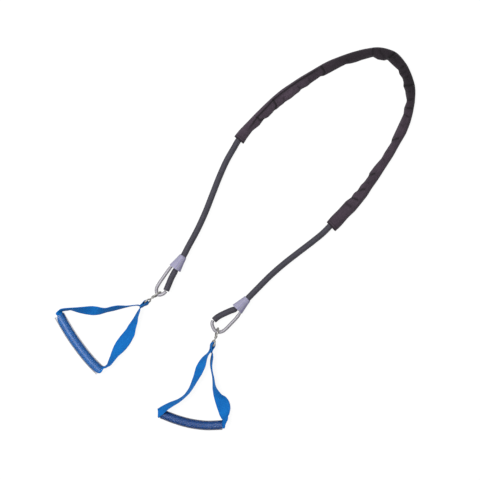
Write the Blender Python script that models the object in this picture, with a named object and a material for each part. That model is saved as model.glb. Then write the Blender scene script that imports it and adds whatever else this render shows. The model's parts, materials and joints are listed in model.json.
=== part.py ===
# Elastic resistance cord: sleeve, end cones, wire hooks, snap hooks and webbing stirrup handles.
# The part lies flat on z = 0, +Z up, metres. Plan positions are laid out on a drawing grid of
# 600 units to the metre, x to the right and y down the drawing, and heights are in millimetres.

import bpy
import bmesh
from math import cos, sin, pi, radians, sqrt
from mathutils import Vector

# ------------------------------------------------------------------ driving dimensions
UNITS_PER_M = 600.0            # drawing grid
GRID_CX, GRID_CY = 235.72, 238.94   # grid point that lies over the origin
MM = 0.001

CORD_R = 5.0 * MM              # elastic cord, 10 mm
CORD_PINCH_R = 2.8 * MM        # where the hook's coil bites into it
CORD_LAY_Z = 6.4               # cord axis over the floor under the sleeve (mm)
AXIS_Z = 11.2                  # axis of cones and hooks over the floor (mm)

CONE_LEN = 25.0                # mm
CONE_R_NARROW, CONE_R_WIDE = 6.4, 10.75
CONE_BORE_R, CONE_MOUTH_R = 5.35, 9.45

HOOK_WIRE_R = 2.25 * MM        # 4.5 mm steel wire
HOOK_COIL_R = 5.4              # radius of the coil's centre line (mm)

SNAP_WIRE_R = 1.3 * MM         # 2.6 mm steel wire
SNAP_CURL_R = 6.4              # hook of the snap, centre line (mm)
SNAP_BAR_S = 24.0              # eye bar from the bow it hangs on (mm)
SNAP_EYE_H = 9.3               # half height of the eye, centre line (mm)

WEB_W, WEB_T = 20.0, 1.3       # webbing (mm)
WEB_W_EYE = 15.0               # webbing gathered at the eye (mm)

HOSE_R = {"left": 9.2, "right": 8.1}         # clear hose grips (mm)
HOSE_BORE_R = {"left": 8.3, "right": 7.3}
HOSE_Z = {"left": 9.4, "right": 8.4}

Z = Vector((0.0, 0.0, 1.0))


# ------------------------------------------------------------------ helpers
def grid(x, y, z_mm=0.0):
    return Vector(((x - GRID_CX) / UNITS_PER_M, (GRID_CY - y) / UNITS_PER_M, z_mm * MM))


def gdir(x, y, z=0.0):
    return Vector((x, -y, z)).normalized()


def spline(ctrl, closed=False, per=24):
    """Dense centripetal Catmull-Rom points through the control vectors (any dimension)."""
    n = len(ctrl)
    out = []
    last = n if closed else n - 1
    for i in range(last):
        p1, p2 = ctrl[i], ctrl[(i + 1) % n]
        if closed:
            p0, p3 = ctrl[(i - 1) % n], ctrl[(i + 2) % n]
        else:
            p0 = ctrl[i - 1] if i > 0 else 2 * p1 - p2
            p3 = ctrl[i + 2] if i + 2 < n else 2 * p2 - p1
        a = max(sqrt((p1 - p0).length), 1e-9)
        b = max(sqrt((p2 - p1).length), 1e-9)
        c = max(sqrt((p3 - p2).length), 1e-9)
        m1 = ((p1 - p0) / a - (p2 - p0) / (a + b) + (p2 - p1) / b) * b
        m2 = ((p2 - p1) / b - (p3 - p1) / (b + c) + (p3 - p2) / c) * b
        for k in range(per):
            t = k / per
            h1 = 2 * t ** 3 - 3 * t ** 2 + 1
            h2 = t ** 3 - 2 * t ** 2 + t
            h3 = -2 * t ** 3 + 3 * t ** 2
            h4 = t ** 3 - t ** 2
            out.append((h1 * p1 + h2 * m1 + h3 * p2 + h4 * m2, i + t))
    if not closed:
        out.append((ctrl[-1].copy(), float(n - 1)))
    return out


def resample(ctrl, step, closed=False):
    """Points a step apart along the smooth curve, with the control parameter of each."""
    dense = spline(ctrl, closed)
    if closed:
        dense.append((dense[0][0].copy(), float(len(ctrl))))
    acc = [0.0]
    for i in range(1, len(dense)):
        acc.append(acc[-1] + (dense[i][0] - dense[i - 1][0]).length)
    count = max(2, round(acc[-1] / step))
    out, j = [], 0
    for k in range(count + (0 if closed else 1)):
        s = acc[-1] * k / count
        while j < len(dense) - 2 and acc[j + 1] < s:
            j += 1
        f = (s - acc[j]) / max(acc[j + 1] - acc[j], 1e-12)
        p = dense[j][0].lerp(dense[j + 1][0], f)
        u = dense[j][1] + f * (dense[j + 1][1] - dense[j][1])
        out.append((p, u))
    return out


def tangents(pts, closed=False):
    n = len(pts)
    res = []
    for i in range(n):
        a = pts[(i - 1) % n] if (closed or i > 0) else pts[i]
        b = pts[(i + 1) % n] if (closed or i < n - 1) else pts[i]
        res.append((b - a).normalized())
    return res


def material(name, rgb, rough, metal=0.0, alpha=1.0):
    m = bpy.data.materials.new(name)
    m.use_nodes = True
    b = m.node_tree.nodes["Principled BSDF"]
    b.inputs["Base Color"].default_value = (*rgb, 1.0)
    b.inputs["Roughness"].default_value = rough
    b.inputs["Metallic"].default_value = metal
    b.inputs["Alpha"].default_value = alpha
    m.diffuse_color = (*rgb, alpha)
    return m


def axis_empty(name, pos, parent=None):
    e = bpy.data.objects.new(name, None)
    e.empty_display_size = 0.01
    bpy.context.collection.objects.link(e)
    if parent is not None:
        e.parent = parent
        e.location = pos - world_of(parent)
    else:
        e.location = pos
    return e


def world_of(obj):
    p = Vector(obj.location)
    while obj.parent is not None:
        obj = obj.parent
        p += Vector(obj.location)
    return p


def add_mesh(name, verts, faces, mat, body, smooth_angle=40.0):
    """One closed body from world points, stored about its body's joint origin."""
    o = world_of(body)
    bm = bmesh.new()
    vs = [bm.verts.new(v - o) for v in verts]
    for f in faces:
        bm.faces.new([vs[i] for i in f])
    bmesh.ops.recalc_face_normals(bm, faces=bm.faces)
    me = bpy.data.meshes.new(name)
    bm.to_mesh(me)
    bm.free()
    me.shade_smooth()
    me.set_sharp_from_angle(angle=radians(smooth_angle))
    me.materials.append(mat)
    ob = bpy.data.objects.new(name, me)
    bpy.context.collection.objects.link(ob)
    ob.parent = body
    return ob


def add_wire(name, pts, radius, mat, body, res=2, scale=None):
    """Round wire or cord: a poly curve with a round bevel and filled caps."""
    o = world_of(body)
    cu = bpy.data.curves.new(name, 'CURVE')
    cu.dimensions = '3D'
    cu.bevel_depth = radius
    cu.bevel_resolution = res
    cu.use_fill_caps = True
    cu.twist_mode = 'MINIMUM'
    sp = cu.splines.new('POLY')
    sp.points.add(len(pts) - 1)
    for i, p in enumerate(pts):
        q = p - o
        sp.points[i].co = (q.x, q.y, q.z, 1.0)
        sp.points[i].radius = 1.0 if scale is None else scale[i]
    sp.use_smooth = True
    cu.materials.append(mat)
    ob = bpy.data.objects.new(name, cu)
    bpy.context.collection.objects.link(ob)
    ob.parent = body
    return ob


def ring_faces(n_rings, m, closed=False, base=0, flip=False):
    out = []
    for i in range(n_rings if closed else n_rings - 1):
        a, b = base + i * m, base + ((i + 1) % n_rings) * m
        for k in range(m):
            q = [a + k, a + (k + 1) % m, b + (k + 1) % m, b + k]
            out.append(q[::-1] if flip else q)
    return out


def hollow_sweep(name, path, outer, inner, mat, body, up=Z):
    """Tube with a wall: outer and inner section polygons (mm) swept along the path, both ends open."""
    ts = tangents(path)
    m = len(outer)
    verts = []
    for sec in (outer, inner):
        for p, t in zip(path, ts):
            side = t.cross(up).normalized()
            top = side.cross(t).normalized()
            verts += [p + side * (a * MM) + top * (b * MM) for a, b in sec]
    n = len(path)
    faces = ring_faces(n, m) + ring_faces(n, m, base=n * m, flip=True)
    for end in (0, n - 1):
        for k in range(m):
            faces.append([end * m + k, end * m + (k + 1) % m,
                          n * m + end * m + (k + 1) % m, n * m + end * m + k])
    return add_mesh(name, verts, faces, mat, body)


def circle(r, n, phase=0.0):
    return [(r * cos(2 * pi * k / n + phase), r * sin(2 * pi * k / n + phase)) for k in range(n)]


def lathe(name, profile, origin, axis, ref, mat, body, n=24):
    """Closed profile of (along, radius) in mm turned about an axis."""
    side = axis.cross(ref).normalized()
    top = side.cross(axis).normalized()
    verts = []
    for u, r in profile:
        for k in range(n):
            a = 2 * pi * k / n
            verts.append(origin + axis * (u * MM) + (side * cos(a) + top * sin(a)) * (r * MM))
    return add_mesh(name, verts, ring_faces(len(profile), n, closed=True), mat, body, 30.0)


# ------------------------------------------------------------------ clean scene, materials
for ob in list(bpy.data.objects):
    bpy.data.objects.remove(ob, do_unlink=True)

M_CORD = material("cord_rubber", (0.070, 0.065, 0.095), 0.75)
M_SLEEVE = material("sleeve_fabric", (0.035, 0.028, 0.036), 0.9)
M_CONE = material("cone_plastic", (0.40, 0.39, 0.56), 0.45)
M_STEEL = material("steel_wire", (0.55, 0.54, 0.56), 0.3, 1.0)
M_WEB = material("blue_webbing", (0.012, 0.14, 0.50), 0.8)
M_HOSE = material("clear_hose", (0.75, 0.80, 0.88), 0.08, 0.0, 0.35)
M_THREAD = material("blue_thread", (0.02, 0.20, 0.58), 0.7)

base = axis_empty("body_base", Vector((0, 0, 0)))

# ------------------------------------------------------------------ the two ends
class End:
    """Frame of one end: u along the cone's axis towards the hook, v across to the wire leg."""

    def __init__(self, side, mouth, axis, leg_sign, roll_deg, bow, pull, lean_deg):
        self.side = side
        self.o = grid(mouth[0], mouth[1], AXIS_Z)
        self.u = gdir(*axis)
        flat = self.u.cross(Z).normalized() * leg_sign      # across, towards the wire leg
        r = radians(roll_deg)
        self.v = (flat * cos(r) - Z * sin(r)).normalized()
        self.w = self.u.cross(self.v)
        self.bow = grid(bow[0], bow[1], AXIS_Z)
        self.s = gdir(*pull)                                  # pull of the handle
        lean = radians(lean_deg)                              # the snap leans to one side about its pull
        self.up = (Z * cos(lean) + self.s.cross(Z).normalized() * sin(lean)).normalized()
        self.right = self.s.cross(self.up).normalized()       # right-hand side of the pull

    def at(self, u, v, w=0.0):
        return self.o + (self.u * u + self.v * v + self.w * w) * MM

    def snap(self, s, z, l=0.0):
        return self.bow + (self.s * s + self.up * z + self.right * l) * MM


LEFT = End("left", (174.9, 268.5), (-0.559, 0.829), 1, 20.0, (157.6, 294.1), (-0.805, 0.593), 14.0)
RIGHT = End("right", (237.1, 309.3), (-0.70, 0.714), -1, 0.0, (217.2, 331.7), (-0.314, 0.949), -14.0)

# wire hook paths in (u, v) mm: leg, bow, tip
HOOK_PATH = {
    "left": [(-1.6, 6.4), (2.5, 7.5), (10, 8.0), (24, 8.3), (32, 8.5), (37, 8.3), (43.5, 7.5), (48.2, 4.9), (51.5, 0.3),
             (50.8, -3.6), (46.8, -7.2), (43.4, -8.8), (41.2, -9.3)],
    "right": [(-1.6, 6.5), (2.5, 8.0), (10, 9.1), (24, 9.4), (36, 9.4), (42.5, 8.5), (46.8, 6.3), (49.9, 2.45),
              (50.9, -2.8), (49.0, -8.8), (46.2, -13.2), (43.2, -15.4)],
}
# tails in (u, v) mm
TAIL_PATH = {
    "left": [(1.5, -2.30), (3.0, -2.75), (8, -3.4), (14, -4.0), (20, -5.1), (26, -6.4), (32, -7.7), (38.6, -9.1)],
    "right": [(1.1, -2.245), (2.6, -2.79), (8, -5.6), (14, -8.1), (20, -10.4), (26, -12.6), (33, -14.3), (40.2, -14.9)],
}

# ------------------------------------------------------------------ elastic cord and sleeve
CORD_LEFT = [(188.4, 246.5, 11.0), (197.3, 230.0, 10.2), (205.2, 212.8, 9.0), (212.1, 195.3, 7.9),
             (219.0, 177.7, 7.0), (226.7, 160.5, 6.5), (233.9, 147.9, 6.4)]
UNDER_SLEEVE = [(238.6, 139.9), (249.9, 126.0), (262.2, 113.7), (275.1, 101.8), (288.9, 91.0), (303.3, 81.0),
                (318.3, 71.8), (334.1, 63.8), (350.6, 57.4), (366.5, 53.5), (380.0, 53.1), (391.5, 57.0),
                (400.5, 65.0), (406.5, 75.5), (409.6, 87.5), (409.9, 100.0), (407.5, 112.5), (402.1, 127.6),
                (395.0, 143.4), (385.9, 158.4), (376.0, 172.6), (365.9, 186.8), (355.1, 200.3), (345.0, 211.3),
                (337.2, 219.3), (330.2, 225.9)]
CORD_RIGHT = [(323.0, 233.1, 6.4), (313.5, 240.9, 6.6), (298.9, 252.1, 7.4), (284.4, 263.4, 8.6),
              (270.5, 275.5, 10.0), (257.5, 288.5, 11.0)]


def in_cone(e):
    # from the butt with the tail, through the coil, to the narrow end
    return [e.at(0.7, -2.1), e.at(-0.8, -1.555), e.at(-2.3, -1.01), e.at(-5.2, 0.0), e.at(-9.0, 0.0), e.at(-14.0, 0.0), e.at(-20.0, 0.0), e.at(-27.0, 0.0)]


cord_ctrl = in_cone(LEFT)
cord_ctrl += [grid(*p) for p in CORD_LEFT]
cord_ctrl += [grid(x, y, CORD_LAY_Z) for x, y in UNDER_SLEEVE]
cord_ctrl += [grid(*p) for p in CORD_RIGHT]
cord_ctrl += in_cone(RIGHT)[::-1]

dense = resample(cord_ctrl, 0.0004)
total = (len(dense) - 1)


def pinch(p):
    """Radius of the cord as a share of its free radius: squeezed where the coil holds it."""
    for e in (LEFT, RIGHT):
        d = p - e.o
        u, off = d.dot(e.u) / MM, (d - e.u * d.dot(e.u)).length / MM
        if -26.0 < u < 3.0 and off < 8.0:
            lo = CORD_PINCH_R / CORD_R
            if u < -18.0:
                return 1.0
            if u < -12.0:
                f = (u + 18.0) / 6.0
                return 1.0 - (1.0 - lo) * f * f * (3 - 2 * f)
            if u < -3.0:
                return lo
            f = min(1.0, (u + 3.0) / 3.7)
            return lo + (0.84 - lo) * f * f * (3 - 2 * f)
    return 1.0


# stations: close together inside the cones, 25 mm apart along the free run
stations, since = [], 1.0
for i, (p, _) in enumerate(dense):
    near = min((p - LEFT.o).length, (p - RIGHT.o).length) < 0.031
    gap = 0.0026 if near else 0.021
    if i == 0 or i == total or since >= gap:
        stations.append(p)
        since = 0.0
    since += 0.0004
if (stations[-1] - stations[-2]).length < 0.0012:
    stations.pop(-2)
add_wire("elastic_cord", stations, CORD_R, M_CORD, base, res=3, scale=[pinch(p) for p in stations])

SLEEVE_OUT = [(-4.0, -6.4), (4.0, -6.4), (7.7, -4.8), (9.4, -1.2), (8.7, 2.6), (5.6, 5.3), (0.0, 6.4),
              (-5.6, 5.3), (-8.7, 2.6), (-9.4, -1.2), (-7.7, -4.8)]
SLEEVE_IN = [(-3.7, -5.6), (3.7, -5.6), (7.0, -4.2), (8.6, -1.1), (8.0, 2.2), (5.1, 4.6), (0.0, 5.6),
             (-5.1, 4.6), (-8.0, 2.2), (-8.6, -1.1), (-7.0, -4.2)]
sleeve_path = [p for p, _ in resample([grid(x, y, 6.4) for x, y in UNDER_SLEEVE], 0.017)]
hollow_sweep("sleeve", sleeve_path, SLEEVE_OUT, SLEEVE_IN, M_SLEEVE, base)


# ------------------------------------------------------------------ cones, hooks, tails
def ribbon_loop(name, ctrl, body, step=0.008, turn=0.42, across=5):
    """Closed webbing loop. Each control: point, width direction, width (mm), curl (deg)."""
    fine = resample([c[0] for c in ctrl], 0.0004, closed=True)
    ft = tangents([p for p, _ in fine], closed=True)
    pos, ts, run, ang = [], [], 1.0, 0.0
    for k, (p, u) in enumerate(fine):
        # a station where the strip has turned or run far enough since the last one
        if run >= step or ang >= turn:
            pos.append((p, u))
            ts.append(ft[k])
            run, ang = 0.0, 0.0
        run += 0.0004
        ang += ft[k].angle(ft[(k + 1) % len(ft)], 0.0)
    pts = [p for p, _ in pos]
    n_ctrl = len(ctrl)
    verts = []
    for (p, u), t in zip(pos, ts):
        i, f = int(u) % n_ctrl, u - int(u)
        f = f * f * (3 - 2 * f)
        a, b = ctrl[i], ctrl[(i + 1) % n_ctrl]
        w = a[1].lerp(b[1], f)
        w = (w - t * w.dot(t)).normalized()
        nrm = w.cross(t)
        width = a[2] + (b[2] - a[2]) * f
        curl = radians(a[3] + (b[3] - a[3]) * f)
        k = min(1.0, curl / radians(255.0))
        k = k * k * (3 - 2 * k)
        top, bottom = [], []
        for j in range(across):
            q = (j / (across - 1) - 0.5) * width
            for lst, off in ((top, WEB_T / 2), (bottom, -WEB_T / 2)):
                if curl > 1e-3:
                    r = width / curl
                    ang = q / r
                    x, y = (r + off) * sin(ang), (r + off) * cos(ang) - r * (1.0 - k)
                else:
                    x, y = q, off
                lst.append(p + w * (x * MM) + nrm * (y * MM))
        verts += top + bottom[::-1]
    return add_mesh(name, verts, ring_faces(len(pts), 2 * across, closed=True), M_WEB, body)


def build_end(e, side):
    # cone: tapered shell, bore at the narrow end, open mouth for the coil
    prof = [(0.0, CONE_R_WIDE), (-1.2, CONE_R_WIDE + 0.1), (-7.0, 9.6), (-14.0, 8.2), (-21.0, 7.0),
            (-CONE_LEN + 0.8, CONE_R_NARROW + 0.1), (-CONE_LEN, CONE_R_NARROW - 0.3),
            (-CONE_LEN, CONE_BORE_R), (-17.0, CONE_BORE_R), (-12.4, 7.3), (-11.6, 8.0), (-4.0, 8.6),
            (0.0, CONE_MOUTH_R)]
    lathe("cone_" + side, prof, e.o, e.u, Z, M_CONE, base)

    # wire hook: coil round the cord inside the cone, straight leg, bow, cut tip
    pts = []
    turns, steps = 1.35, 16
    for i in range(steps + 1):
        f = i / steps
        a = -2 * pi * turns * (1 - f)
        pts.append(e.at(-9.6 + 5.2 * f, HOOK_COIL_R * cos(a), HOOK_COIL_R * sin(a)))
    pts += [e.at(u, v) for u, v in HOOK_PATH[side]]
    path = [p for p, _ in resample(pts, 0.0030)]
    # thinner where it is coiled, full size from the mouth on
    full = [1.0 + 0.12 * min(1.0, max(0.0, ((q - e.o).dot(e.u) / MM - 1.0) / 5.0)) for q in path]
    add_wire("wire_hook_" + side, path, HOOK_WIRE_R, M_STEEL, base, res=2, scale=full)

    # tail of the cord, hinged at the outer edge of the butt
    hinge = e.at(1.0, TAIL_PATH[side][0][1] - 4.9)
    keeper = axis_empty("body_keeper_" + side, hinge, base)
    tail = [p for p, _ in resample([e.at(u, v) for u, v in TAIL_PATH[side]], 0.0042)]
    grow = [min(1.0, 0.84 + 0.08 * i) for i in range(len(tail))]
    add_wire("cord_tail_" + side, tail, CORD_R, M_CORD, keeper, res=3, scale=grow)

    # snap hook: hook over the bow, shank, eye with an upright bar
    swing = axis_empty("body_snap_" + side, e.bow, base)
    c_s, c_z = 0.2, -1.6
    curl = []
    for i in range(13):
        a = radians(-75.0 - (360.0 - 165.0) * i / 12.0)
        curl.append((c_s + SNAP_CURL_R * cos(a), c_z + SNAP_CURL_R * sin(a)))
    h = SNAP_EYE_H
    rest = [(5.6, 4.0), (8.8, 2.7), (12.0, 1.3), (14.4, 1.6), (15.9, 4.0), (16.6, 7.0), (18.6, h), (21.8, h),
            (SNAP_BAR_S, h - 2.2), (SNAP_BAR_S, 3.0), (SNAP_BAR_S, -3.0), (SNAP_BAR_S, -h + 2.2), (21.8, -h), (18.6, -h), (16.6, -7.0),
            (15.9, -4.4), (15.2, -2.6)]
    path = [p for p, _ in resample([e.snap(s, z) for s, z in curl + rest], 0.0022)]
    add_wire("snap_" + side, path, SNAP_WIRE_R, M_STEEL, swing, res=1)

    # crimped collar on the shank and the spring leaf it holds
    a, b = e.snap(7.0, 3.45), e.snap(10.6, 1.92)
    run = (b - a).normalized()
    lathe("gate_collar_" + side, [(0.0, 2.35), (4.0, 2.35), (4.0, 1.75), (0.0, 1.75)], a, run, e.right,
          M_STEEL, swing, n=12)
    root, tip = e.snap(7.5, -0.45), e.snap(1.3, -5.75)
    gate = axis_empty("body_gate_" + side, root, swing)
    d = (tip - root).normalized()
    nrm = e.right.cross(d).normalized()
    verts, half = [], 0.3 * MM
    for f, wide in ((0.0, 1.6), (0.2, 1.8), (0.8, 1.8), (1.0, 1.2)):
        c = root.lerp(tip, f) + nrm * (0.25 * MM * sin(pi * f))
        for sx, sy in ((-1, -1), (1, -1), (1, 1), (-1, 1)):
            verts.append(c + e.right * (sx * wide * MM) + nrm * (sy * half))
    faces = ring_faces(4, 4) + [[0, 1, 2, 3], [12, 13, 14, 15]]
    add_mesh("snap_gate_" + side, verts, faces, M_STEEL, gate)

    # handle: webbing loop through the eye and the hose
    bar = e.snap(SNAP_BAR_S, 0.0)
    handle = axis_empty("body_handle_" + side, bar, swing)
    up, tab = Z.copy(), e.up.copy()
    g = WEB_W_EYE
    ctrl = [(e.snap(31.0, 0, 0.9), tab, g, 0), (e.snap(34.5, 0, 1.1), tab, g, 0)]
    hose_axis = []
    if side == "left":
        ctrl += [(grid(138.0, 305.2, 11.0), gdir(0.05, -0.10, 0.99), 17, 0),
                 (grid(132.5, 305.6, 11.0), gdir(0.0, -0.07, 0.99), 18, 0),
                 (grid(126.5, 306.5, 10.9), gdir(0.0, -0.135, 0.99), WEB_W, 0),
                 (grid(122.5, 306.9, 10.7), gdir(0.0, -0.24, 0.97), WEB_W, 0),
                 (grid(118.0, 307.5, 10.4), gdir(0.0, -0.35, 0.937), WEB_W, 0),
                 (grid(112.5, 308.7, 10.2), gdir(0.0, -0.40, 0.917), WEB_W, 0),
                 (grid(106.5, 310.1, 10.2), gdir(0.0, -0.375, 0.927), WEB_W, 0),
                 (grid(102.5, 310.55, 9.9), gdir(0.0, -0.495, 0.869), WEB_W, 0),
                 (grid(98.5, 310.7, 9.2), gdir(0.0, -0.67, 0.742), WEB_W, 0),
                 (grid(93.0, 310.7, 8.4), gdir(0.0, -0.77, 0.638), WEB_W, 0),
                 (grid(88.5, 310.5, 8.6), gdir(0.0, -0.72, 0.694), WEB_W, 0),
                 (grid(84.5, 310.35, 9.1), gdir(0.0, -0.63, 0.777), WEB_W, 0),
                 (grid(78.5, 309.9, 9.8), gdir(0.0, -0.47, 0.883), WEB_W, 0),
                 (grid(74.5, 309.4, 10.3), gdir(0.0, -0.33, 0.944), WEB_W, 0),
                 (grid(70.5, 309.0, 10.6), gdir(0.0, -0.21, 0.978), WEB_W, 0),
                 (grid(66.0, 309.2, 10.6), up, WEB_W - 1, 30),
                 (grid(60.0, 310.9, 9.8), up, 17, 100),
                 (grid(58.9, 313.7, 9.4), up, 17, 190)]
        hose_axis = [(60.1, 317.2), (71.6, 336.0), (82.8, 351.6), (91.5, 362.0), (100.2, 370.8)]
        out = [(grid(102.4, 372.0, 9.3), up, 17, 190),
               (grid(105.0, 371.2, 9.8), up, 17, 100),
               (grid(106.8, 367.6, 10.4), gdir(0.10, 0.08, 0.99), WEB_W - 1, 20),
               (grid(108.9, 364.5, 10.3), gdir(0.24, 0.18, 0.954), WEB_W, 0),
               (grid(111.6, 360.5, 10.0), gdir(0.38, 0.25, 0.89), WEB_W, 0),
               (grid(114.1, 356.5, 9.2), gdir(0.48, 0.32, 0.818), WEB_W, 0),
               (grid(116.9, 352.4, 7.9), gdir(0.61, 0.43, 0.665), 20.5, 0),
               (grid(121.8, 345.2, 6.0), gdir(0.81, 0.56, 0.17), 21, 0),
               (grid(124.6, 340.7, 5.8), gdir(0.84, 0.53, 0.12), 21, 0),
               (grid(127.1, 336.5, 6.4), gdir(0.83, 0.46, 0.31), 20.5, 0),
               (grid(129.5, 332.4, 7.4), gdir(0.78, 0.39, 0.49), WEB_W, 0),
               (grid(131.2, 328.5, 8.4), gdir(0.67, 0.33, 0.667), WEB_W, 0),
               (grid(133.1, 324.4, 9.3), gdir(0.55, 0.25, 0.797), WEB_W, 0),
               (grid(134.9, 320.4, 10.1), gdir(0.42, 0.19, 0.887), WEB_W, 0),
               (grid(136.6, 316.4, 10.7), gdir(0.29, 0.13, 0.947), WEB_W - 1, 0),
               (grid(138.3, 312.4, 11.0), gdir(0.20, 0.12, 0.97), 18, 0),
               (grid(139.9, 309.2, 11.0), gdir(0.10, 0.06, 0.99), 17, 0)]
    else:
        ctrl += [(grid(208.1, 353.7, 11.0), gdir(0.15, 0.08, 0.98), 17, 0),
                 (grid(205.6, 356.8, 10.8), gdir(0.30, 0.14, 0.94), 18, 0),
                 (grid(203.3, 360.6, 10.0), gdir(0.45, 0.25, 0.86), WEB_W, 0),
                 (grid(201.5, 364.6, 9.2), gdir(0.60, 0.28, 0.75), WEB_W, 0),
                 (grid(199.9, 368.6, 9.0), gdir(0.63, 0.28, 0.72), WEB_W, 0),
                 (grid(198.4, 372.6, 9.3), gdir(0.56, 0.30, 0.77), WEB_W, 0),
                 (grid(196.6, 376.6, 9.8), gdir(0.45, 0.25, 0.86), WEB_W, 0),
                 (grid(194.7, 380.6, 10.2), gdir(0.37, 0.20, 0.907), WEB_W, 0),
                 (grid(190.7, 388.5, 10.6), gdir(0.23, 0.14, 0.963), WEB_W, 0),
                 (grid(188.0, 392.4, 10.8), gdir(0.18, 0.14, 0.97), WEB_W, 0),
                 (grid(184.2, 396.4, 10.8), gdir(0.15, 0.17, 0.97), WEB_W, 0),
                 (grid(178.4, 400.6, 10.8), gdir(0.17, 0.25, 0.95), WEB_W, 0),
                 (grid(171.4, 404.2, 11.2), gdir(0.18, 0.32, 0.93), WEB_W, 0),
                 (grid(166.4, 407.5, 12.4), gdir(0.22, 0.38, 0.90), WEB_W - 1, 0),
                 (grid(162.0, 409.6, 14.8), gdir(0.30, 0.56, 0.77), 16.5, 0),
                 (grid(159.1, 411.5, 14.6), gdir(0.10, 0.93, 0.36), 15, 0),
                 (grid(158.1, 412.6, 11.8), gdir(0, 1, 0), 15, 20),
                 (grid(159.3, 413.1, 9.0), gdir(-0.15, 0.98, 0), 15, 120)]
        hose_axis = [(161.5, 413.8), (169.4, 417.0), (178.0, 420.1), (190.8, 423.5), (206.0, 425.4), (222.3, 425.0)]
        out = [(grid(224.2, 425.4, 8.7), gdir(0.05, 0.30, 0.95), 17, 190),
               (grid(226.0, 423.4, 9.6), gdir(0.10, 0.10, 0.99), 17, 100),
               (grid(226.3, 419.2, 10.2), gdir(0.24, 0.0, 0.97), 17, 30),
               (grid(225.2, 416.0, 9.4), gdir(0.56, 0.0, 0.83), WEB_W - 1, 0),
               (grid(224.4, 412.5, 7.4), gdir(0.90, 0.0, 0.44), 20.5, 0),
               (grid(224.0, 408.6, 6.0), gdir(0.99, -0.10, 0.12), 22, 0),
               (grid(223.2, 404.6, 5.9), gdir(0.96, -0.28, 0.06), 22.5, 0),
               (grid(221.3, 400.6, 6.3), gdir(0.87, -0.45, 0.20), 22, 0),
               (grid(218.8, 396.5, 7.8), gdir(0.70, -0.40, 0.59), 20.5, 0),
               (grid(216.4, 392.6, 9.3), gdir(0.50, -0.20, 0.84), WEB_W, 0),
               (grid(214.8, 388.6, 10.2), gdir(0.35, -0.07, 0.93), WEB_W, 0),
               (grid(213.9, 384.0, 10.7), gdir(0.20, -0.04, 0.98), WEB_W, 0),
               (grid(213.1, 377.0, 10.8), gdir(0.14, 0.0, 0.99), WEB_W, 0),
               (grid(212.0, 372.0, 10.8), gdir(0.12, 0.0, 0.99), WEB_W, 0),
               (grid(211.2, 366.0, 10.8), gdir(0.15, 0.0, 0.985), WEB_W, 0),
               (grid(211.4, 361.0, 10.9), gdir(0.20, 0.0, 0.98), WEB_W - 1, 0),
               (grid(212.0, 357.0, 11.0), gdir(0.20, 0.0, 0.98), 18, 0),
               (grid(212.2, 353.4, 11.0), gdir(0.10, 0.0, 0.99), 17, 0)]
    hose_ctrl = [grid(x, y, HOSE_Z[side]) for x, y in hose_axis]
    inside = [p for p, _ in resample(hose_ctrl, 0.018)]
    w0, w1 = ctrl[-1][1], out[0][1]
    for i, p in enumerate(inside):
        f = i / (len(inside) - 1)
        ctrl.append((p, w0.lerp(w1, f).normalized(), WEB_W, 255))
    ctrl += out
    ctrl += [(e.snap(34.5, 0, -1.1), tab, g, 0), (e.snap(31.0, 0, -0.9), tab, g, 0),
             (e.snap(28.0, 0, -1.6), tab, g, 0), (e.snap(25.6, 0, -2.4), tab, g, 0)]
    for a in (-110, -145, 180, 145, 110):
        ctrl.append((e.snap(SNAP_BAR_S + 2.5 * cos(radians(a)), 0, 2.5 * sin(radians(a))), tab, g, 0))
    ctrl += [(e.snap(25.6, 0, 2.4), tab, g, 0), (e.snap(28.0, 0, 1.6), tab, g, 0)]
    ribbon_loop("strap_" + side, ctrl, handle)

    # sewn tack on the outer layer
    zig = []
    for i in range(9):
        zig.append(e.snap(29.8 + 0.45 * i, (5.4 if i % 2 else -5.4), 1.2 + WEB_T / 2 + 0.75))
    add_wire("strap_stitch_" + side, zig, 0.35 * MM, M_THREAD, handle, res=1)

    # hose grip, turning about the line between its ends
    ends = hose_ctrl[0].lerp(hose_ctrl[-1], 0.5)
    grip = axis_empty("body_grip_" + side, ends, handle)
    path = [p for p, _ in resample(hose_ctrl, 0.0165)]
    hollow_sweep("grip_" + side, path, circle(HOSE_R[side], 16), circle(HOSE_BORE_R[side], 16), M_HOSE, grip)


build_end(LEFT, "left")
build_end(RIGHT, "right")
bpy.context.view_layer.update()
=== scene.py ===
# Looks of the elastic resistance cord: braided cord, fabric sleeve, moulded cones, wire hooks,
# snap hooks, blue webbing loops and clear hose grips, seen from straight above on a pale floor.
import bpy
import json
import numpy as np
from math import cos, sin, pi, radians, sqrt, exp, floor
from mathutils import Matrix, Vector, noise

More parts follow.
